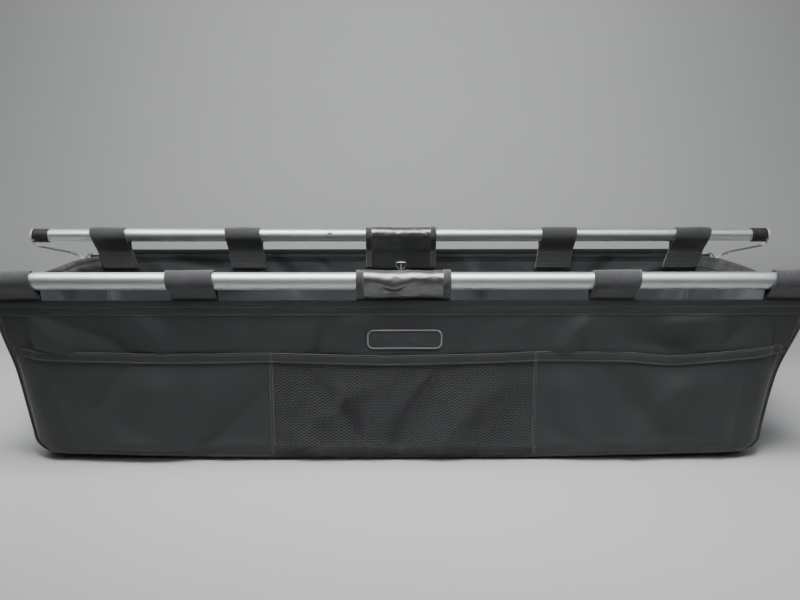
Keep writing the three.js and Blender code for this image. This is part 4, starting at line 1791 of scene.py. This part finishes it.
def pocket_out(x, z, slack):
    """How far out the pocket cloth lies, in front of the wall."""
    seam = POCKET_SEAM
    hand = 1 if x > 0 else -1
    ends = half_length(z, hand) - 6 * MM
    if abs(x) < seam:
        t = x / seam
    else:
        t = 2 * (abs(x) - seam) / (ends - seam) - 1
    full = max(0.0, 1 - t * t)
    low = smoothstep(4 * MM, 34 * MM, z)
    high = 1 - 0.75 * smoothstep(120 * MM, 175 * MM, z)
    wave = 0.5 + 0.5 * noise.noise(Vector((x * 11, z * 9, 7.3)))
    slanting = 0.5 + 0.5 * noise.noise(Vector(((x - 0.8 * z) * 16, (x + z) * 4, 2.9)))
    rise = 3.2 * MM + slack * (0.5 * wave + 0.6 * slanting) + fold_sum(x, z, POCKET_FOLDS)
    belly = max(0.0, rise) * full ** 0.5 * low * high
    return wall_line(x, z, -1, 0) + 1.9 * MM + belly


def thicken(made, thickness):
    """Gives a single layer the thickness of its cloth, half to each side."""
    solid = made.modifiers.new("cloth", "SOLIDIFY")
    solid.thickness = thickness
    solid.offset = 0


class CARGOBAR_OT_pockets(bpy.types.Operator):
    """The two plain pockets, the band along all three mouths, and their seams"""

    bl_idname = "cargobar.pockets"
    bl_label = "Pockets"

    def execute(self, context):
        cloth = context.scene.sling_fabric
        webbing = context.scene.sling_webbing
        for hand, side in (("left", -1), ("right", 1)):
            self.panel(hand, side, cloth)
        self.band(cloth, webbing)
        self.seams(cloth, webbing)
        return {"FINISHED"}

    def panel(self, hand, side, cloth):
        rows = []
        for t in np.linspace(0, 1, 72):
            row = []
            for s in np.linspace(0, 1, 34):
                inner = side * (POCKET_SEAM + 0.4 * MM)
                guess = POCKET_LOW + s * (POCKET_TOP - POCKET_LOW)
                outer = side * (half_length(guess, side) - corner_round(guess) - 5 * MM)
                x = inner + t * (outer - inner)
                z = POCKET_LOW + s * (mouth_height(x) - 5 * MM - POCKET_LOW)
                row.append(self.point(x, z, cloth.slack))
            rows.append(row)
        form = Form()
        form.grid(np.array(rows))
        made = form.build(f"{hand}_pocket_panel", ["sling_cloth"])
        thicken(made, 1.3 * MM)
        settle(made, SLING, "polyester", f"{hand}_pocket")
        width = half_length(100 * MM, side) - 5 * MM - POCKET_SEAM

    @staticmethod
    def point(x, z, slack):
        y = -pocket_out(x, z, slack)
        return (x, y, dropped(x, y, z))

    def band(self, cloth, webbing):
        """A flat elastic band, tacked down at the seams and sagging between them."""
        rows = []
        lower, upper = [], []
        reach = [
            hand * (half_length(190 * MM, hand) - 4 * MM) for hand in (-1, 1)
        ]
        for x in np.linspace(*reach, 420):
            top = mouth_height(x)
            out = pocket_out(x, top - BAND, cloth.slack) + 1.0 * MM
            lean = 1.6 * MM * noise.noise(Vector((x * 19, 0.4, 0.9)))
            crimp = 0.35 * MM * noise.noise(Vector((x * 90, 1.4, 0.9)))
            section = []
            for s, bulge in (
                (0.0, 0.0), (0.05, 0.75), (0.14, 0.8), (0.2, 0.3), (0.3, 0.7), (0.5, 0.9),
                (0.72, 0.75), (0.84, 0.25), (0.9, 0.7), (0.97, 0.6), (1.0, 0.0),
            ):
                away = out + 0.8 * MM + bulge * MM + lean * (1 - s) + crimp * bulge
                section.append((x, -away, top - BAND * s))
            for s in np.linspace(1, 0, 5):
                section.append((x, -(out - 0.4 * MM + lean * (1 - s)), top - BAND * s))
            rows.append(section)
            upper.append((x, -(out + 1.3 * MM + lean * 0.8), top - 0.2 * BAND))
            lower.append((x, -(out + 1.25 * MM + lean * 0.16), top - 0.84 * BAND))
        form = Form()
        form.tube(np.array(rows))
        add_piece(form, "pocket_band", "sling_cloth", SLING, "polyester", sharp=60)
        form = Form()
        for line in (upper, lower):
            add_stitches(form, line, [(0, -1, 0)] * len(line), webbing.stitch)
        for x in (-POCKET_SEAM, POCKET_SEAM):
            top = mouth_height(x)
            out = pocket_out(x, top - BAND, cloth.slack) + 2.7 * MM
            for shift in (-1.2 * MM, 1.2 * MM):
                path = [(x + shift, -out, z) for z in np.linspace(top - BAND, top, 8)]
                add_stitches(form, path, [(0, -1, 0)] * 8, webbing.stitch * 0.6)
        add_piece(form, "pocket_band_stitches", "thread", SLING, "polyester")

    def seams(self, cloth, webbing):
        """Narrow tape and stitches where the pockets are sewn to the wall."""
        tape = Form()
        thread = Form()
        for x in (-POCKET_SEAM, POCKET_SEAM):
            rows, line = [], []
            for z in np.linspace(7 * MM, mouth_height(x) - BAND + 3 * MM, 40):
                out = pocket_out(x, z, cloth.slack)
                section = [
                    (x - 4 * MM, -(out + 0.2 * MM), z), (x - 3.4 * MM, -(out + 1.1 * MM), z),
                    (x, -(out + 1.3 * MM), z), (x + 3.4 * MM, -(out + 1.1 * MM), z),
                    (x + 4 * MM, -(out + 0.2 * MM), z), (x, -(out - 0.4 * MM), z),
                ]
                rows.append(section)
                line.append((x, -(out + 1.4 * MM), z))
            tape.tube(np.array(rows))
            for shift in (-2 * MM, 2 * MM):
                path = np.array(line) + (shift, 0, 0)
                add_stitches(thread, path, [(0, -1, 0)] * len(path), webbing.stitch * 0.8)
        add_piece(tape, "pocket_seam_tape", "binding", SLING, "polyester", sharp=60)
        add_piece(thread, "pocket_seam_stitches", "thread", SLING, "polyester")


class CARGOBAR_OT_net(bpy.types.Operator):
    """The middle pocket's knitted net, strand by strand"""

    bl_idname = "cargobar.net"
    bl_label = "Net pocket"

    def execute(self, context):
        cloth = context.scene.sling_fabric
        net = context.scene.net_pocket
        width = 2 * POCKET_SEAM - 6 * MM
        columns = round(width / net.cell_width)
        step_x = width / columns
        rows = round((POCKET_TOP - POCKET_LOW) / net.cell_height)
        form = Form()
        knots = {}
        for row in range(rows + 1):
            for column in range(2 * columns + 1):
                knots[row, column] = self.knot(row, column, rows, step_x, width, cloth)
        for row in range(rows + 1):
            for column in range(2 * columns):
                self.strand(form, knots[row, column], knots[row, column + 1], net.strand)
            if row < rows:
                for column in range(row % 2, 2 * columns + 1, 2):
                    a, b = knots[row, column], knots[row + 1, column]
                    self.strand(form, a, b, net.strand * 1.25)
        add_piece(form, "net_pocket", "net_yarn", SLING, "mesh", "mesh_pocket")
        return {"FINISHED"}

    def knot(self, row, column, rows, step_x, width, cloth):
        """One knot: rows zigzag, so that neighbours touch and open into six-sided cells."""
        x = -width / 2 + column * step_x / 2
        top = mouth_height(x) - BAND + 3 * MM
        cell = (top - POCKET_LOW) / rows
        zigzag = 0.24 * cell * (1 if (row + column) % 2 == 0 else -1)
        if row in (0, rows):
            zigzag = 0
        z = POCKET_LOW + row * cell + zigzag
        return np.array((x, -(pocket_out(x, z, cloth.slack * 0.8) + 0.4 * MM), z))

    def strand(self, form, a, b, radius):
        """A square-sectioned strand from knot to knot."""
        along = b - a
        along /= np.linalg.norm(along)
        side = np.cross(along, (0, 1, 0))
        side /= np.linalg.norm(side)
        out = np.cross(side, along)
        reach = along * radius * 0.8
        rings = [
            [end + (side * c + out * s) * radius for c, s in circle(4, math.pi / 4)]
            for end in (a - reach, b + reach)
        ]
        form.tube(np.array(rings))


class CARGOBAR_OT_patch(bpy.types.Operator):
    """A plain sewn patch with an overlocked edge"""

    bl_idname = "cargobar.patch"
    bl_label = "Patch"

    def execute(self, context):
        slack = context.scene.sling_fabric.slack
        low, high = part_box("patch")
        centre = (low + high) / 2
        half_x, half_z = (high.x - low.x) / 2, (high.z - low.z) / 2
        corner = 9 * MM
        outline = []
        for quarter in range(4):
            sign_x = 1 if quarter in (0, 3) else -1
            sign_z = 1 if quarter in (0, 1) else -1
            for a in np.linspace(0, math.pi / 2, 7):
                angle = a + quarter * math.pi / 2
                outline.append((
                    centre.x + sign_x * (half_x - corner) + corner * math.cos(angle),
                    centre.z + sign_z * (half_z - corner) + corner * math.sin(angle),
                ))

        def lifted(x, z, away):
            return (x, -(wall_line(x, z, -1, slack) + away), z)

        edge = resample(np.array([(x, 0, z) for x, z in outline]), 2.5 * MM, closed=True)
        rings = []
        for shrink, away in (
            (1.0, 0.9), (1.0, 1.9), (0.97, 2.2), (0.6, 2.2), (0.2, 2.2), (0.01, 2.2),
        ):
            rings.append([
                lifted(
                    centre.x + (x - centre.x) * shrink,
                    centre.z + (z - centre.z) * shrink, away * MM,
                )
                for x, _, z in edge
            ])
        form = Form()
        form.tube(np.array(rings))
        add_piece(form, "patch_face", "patch_cloth", SLING, "patch", "patch", sharp=50)
        form = Form()
        path = np.array([lifted(x, z, 2.0 * MM) for x, _, z in edge])
        add_wire(form, path, 1.25 * MM, 10, closed=True)
        add_piece(form, "patch_edge", "patch_border", SLING, "patch")
        return {"FINISHED"}


# ---------------------------------------------------------------------------------------------
# Divider


class CARGOBAR_OT_divider(bpy.types.Operator):
    """The divider across the middle, its bound top, eyelets and rings"""

    bl_idname = "cargobar.divider"
    bl_label = "Divider"

    def execute(self, context):
        low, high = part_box("divider")
        self.low, self.high = low, high
        self.panel()
        self.binding(context.scene.sling_webbing.stitch)
        for bar, _ in ENDS:
            self.eyelet(bar)
            self.ring(bar)
        return {"FINISHED"}

    def sway(self, y, z):
        """The cloth's small sideways waves."""
        held = smoothstep(0, 60 * MM, self.high.y - abs(y))
        return 3.5 * MM * held * noise.noise(Vector((y * 6, z * 7, 5.0)))

    def panel(self):
        rows = []
        for y in np.linspace(self.low.y, self.high.y, 62):
            rows.append([
                (self.sway(y, z), y, z) for z in np.linspace(self.low.z, self.high.z - 2 * MM, 32)
            ])
        form = Form()
        form.grid(np.array(rows))
        made = form.build("divider_panel", ["sling_cloth"])
        thicken(made, 1.5 * MM)
        settle(made, SLING, "polyester", "divider")

    def binding(self, pitch):
        form = Form()
        thread = Form()
        rows, lines = [], ([], [])
        top = self.high.z
        for y in np.linspace(self.low.y, self.high.y, 62):
            x = self.sway(y, top - 2 * MM)
            section = [
                (-1.5, -14), (-1.7, -7), (-1.5, -1), (0, 0), (1.5, -1), (1.7, -7), (1.5, -14),
            ]
            rows.append([(x + a * MM, y, top + b * MM) for a, b in section])
            for line, side in zip(lines, (-1, 1)):
                line.append((x + side * 1.7 * MM, y, top - 11 * MM))
        form.tube(np.array(rows))
        add_piece(form, "divider_binding", "binding", SLING, "polyester", sharp=70)
        for line, side in zip(lines, (-1, 1)):
            add_stitches(thread, line, [(side, 0, 0)] * len(line), pitch)
        add_piece(thread, "divider_stitches", "thread", SLING, "polyester")

    def eyelet(self, bar):
        ring = middle(f"{bar}_divider_ring")
        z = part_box(f"{bar}_divider_ring")[0].z + 2.6 * MM
        form = Form()
        outline = [(-1.9, 4.2), (-1.9, 6.4), (-1.3, 7.2), (1.3, 7.2), (1.9, 6.4), (1.9, 4.2)]
        add_turned(
            form, (0, ring.y, z), (1, 0, 0), [(a * MM, r * MM) for a, r in outline], 28
        )
        add_piece(form, f"{bar}_divider_eyelet", "zinc", SLING, "steel", sharp=35)

    def ring(self, bar):
        low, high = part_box(f"{bar}_divider_ring")
        y = (low.y + high.y) / 2
        half = (high.x - low.x) / 2 - 1.3 * MM
        top = high.z - 1.3 * MM
        depth = top - low.z - 1.3 * MM
        points = [(x, y, top) for x in np.linspace(-half + 2 * MM, half - 2 * MM, 5)]
        points += [
            (half * math.cos(a), y, top - 1 * MM - (depth - 1 * MM) * math.sin(a))
            for a in np.linspace(0.12, math.pi - 0.12, 12)
        ]
        form = Form()
        add_wire(form, smooth_path(points, 1.4 * MM, closed=True), 1.25 * MM, 10, closed=True)
        add_piece(
            form, f"{bar}_divider_d_ring", "zinc", SLING, "steel", f"{bar}_divider_ring"
        )


# ---------------------------------------------------------------------------------------------
# Panel and registration

OPERATORS = (
    CARGOBAR_OT_stage,
    CARGOBAR_OT_ties,
    CARGOBAR_OT_tubes,
    CARGOBAR_OT_bar_ends,
    CARGOBAR_OT_inner_works,
    CARGOBAR_OT_loops,
    CARGOBAR_OT_wraps,
    CARGOBAR_OT_sling_body,
    CARGOBAR_OT_hems,
    CARGOBAR_OT_piping,
    CARGOBAR_OT_pockets,
    CARGOBAR_OT_net,
    CARGOBAR_OT_patch,
    CARGOBAR_OT_divider,
)


class CARGOBAR_PT_build(bpy.types.Panel):
    """Lists the pieces and their settings"""

    bl_idname = "CARGOBAR_PT_build"
    bl_label = "Cargo Bar"
    bl_space_type = "VIEW_3D"
    bl_region_type = "UI"
    bl_category = "Cargo Bar"

    def draw(self, context):
        for operator in OPERATORS:
            self.layout.operator(operator.bl_idname)
        for group in SETTINGS:
            settings = getattr(context.scene, group)
            column = self.layout.column()
            for name in settings.__annotations__:
                column.prop(settings, name)


SETTINGS = {
    "sling_fabric": FabricSettings,
    "sling_webbing": WebbingSettings,
    "net_pocket": NetSettings,
    "bar_parts": BarSettings,
}


def register():
    for settings in SETTINGS.values():
        bpy.utils.register_class(settings)
    for operator in OPERATORS:
        bpy.utils.register_class(operator)
    bpy.utils.register_class(CARGOBAR_PT_build)
    for name, settings in SETTINGS.items():
        setattr(bpy.types.Scene, name, PointerProperty(type=settings))


def unregister():
    for name in SETTINGS:
        delattr(bpy.types.Scene, name)
    bpy.utils.unregister_class(CARGOBAR_PT_build)
    for operator in reversed(OPERATORS):
        bpy.utils.unregister_class(operator)
    for settings in reversed(SETTINGS.values()):
        bpy.utils.unregister_class(settings)


def main():
    register()
    for operator in OPERATORS:
        group, name = operator.bl_idname.split(".")
        getattr(getattr(bpy.ops, group), name)()


if __name__ == "__main__":
    main()
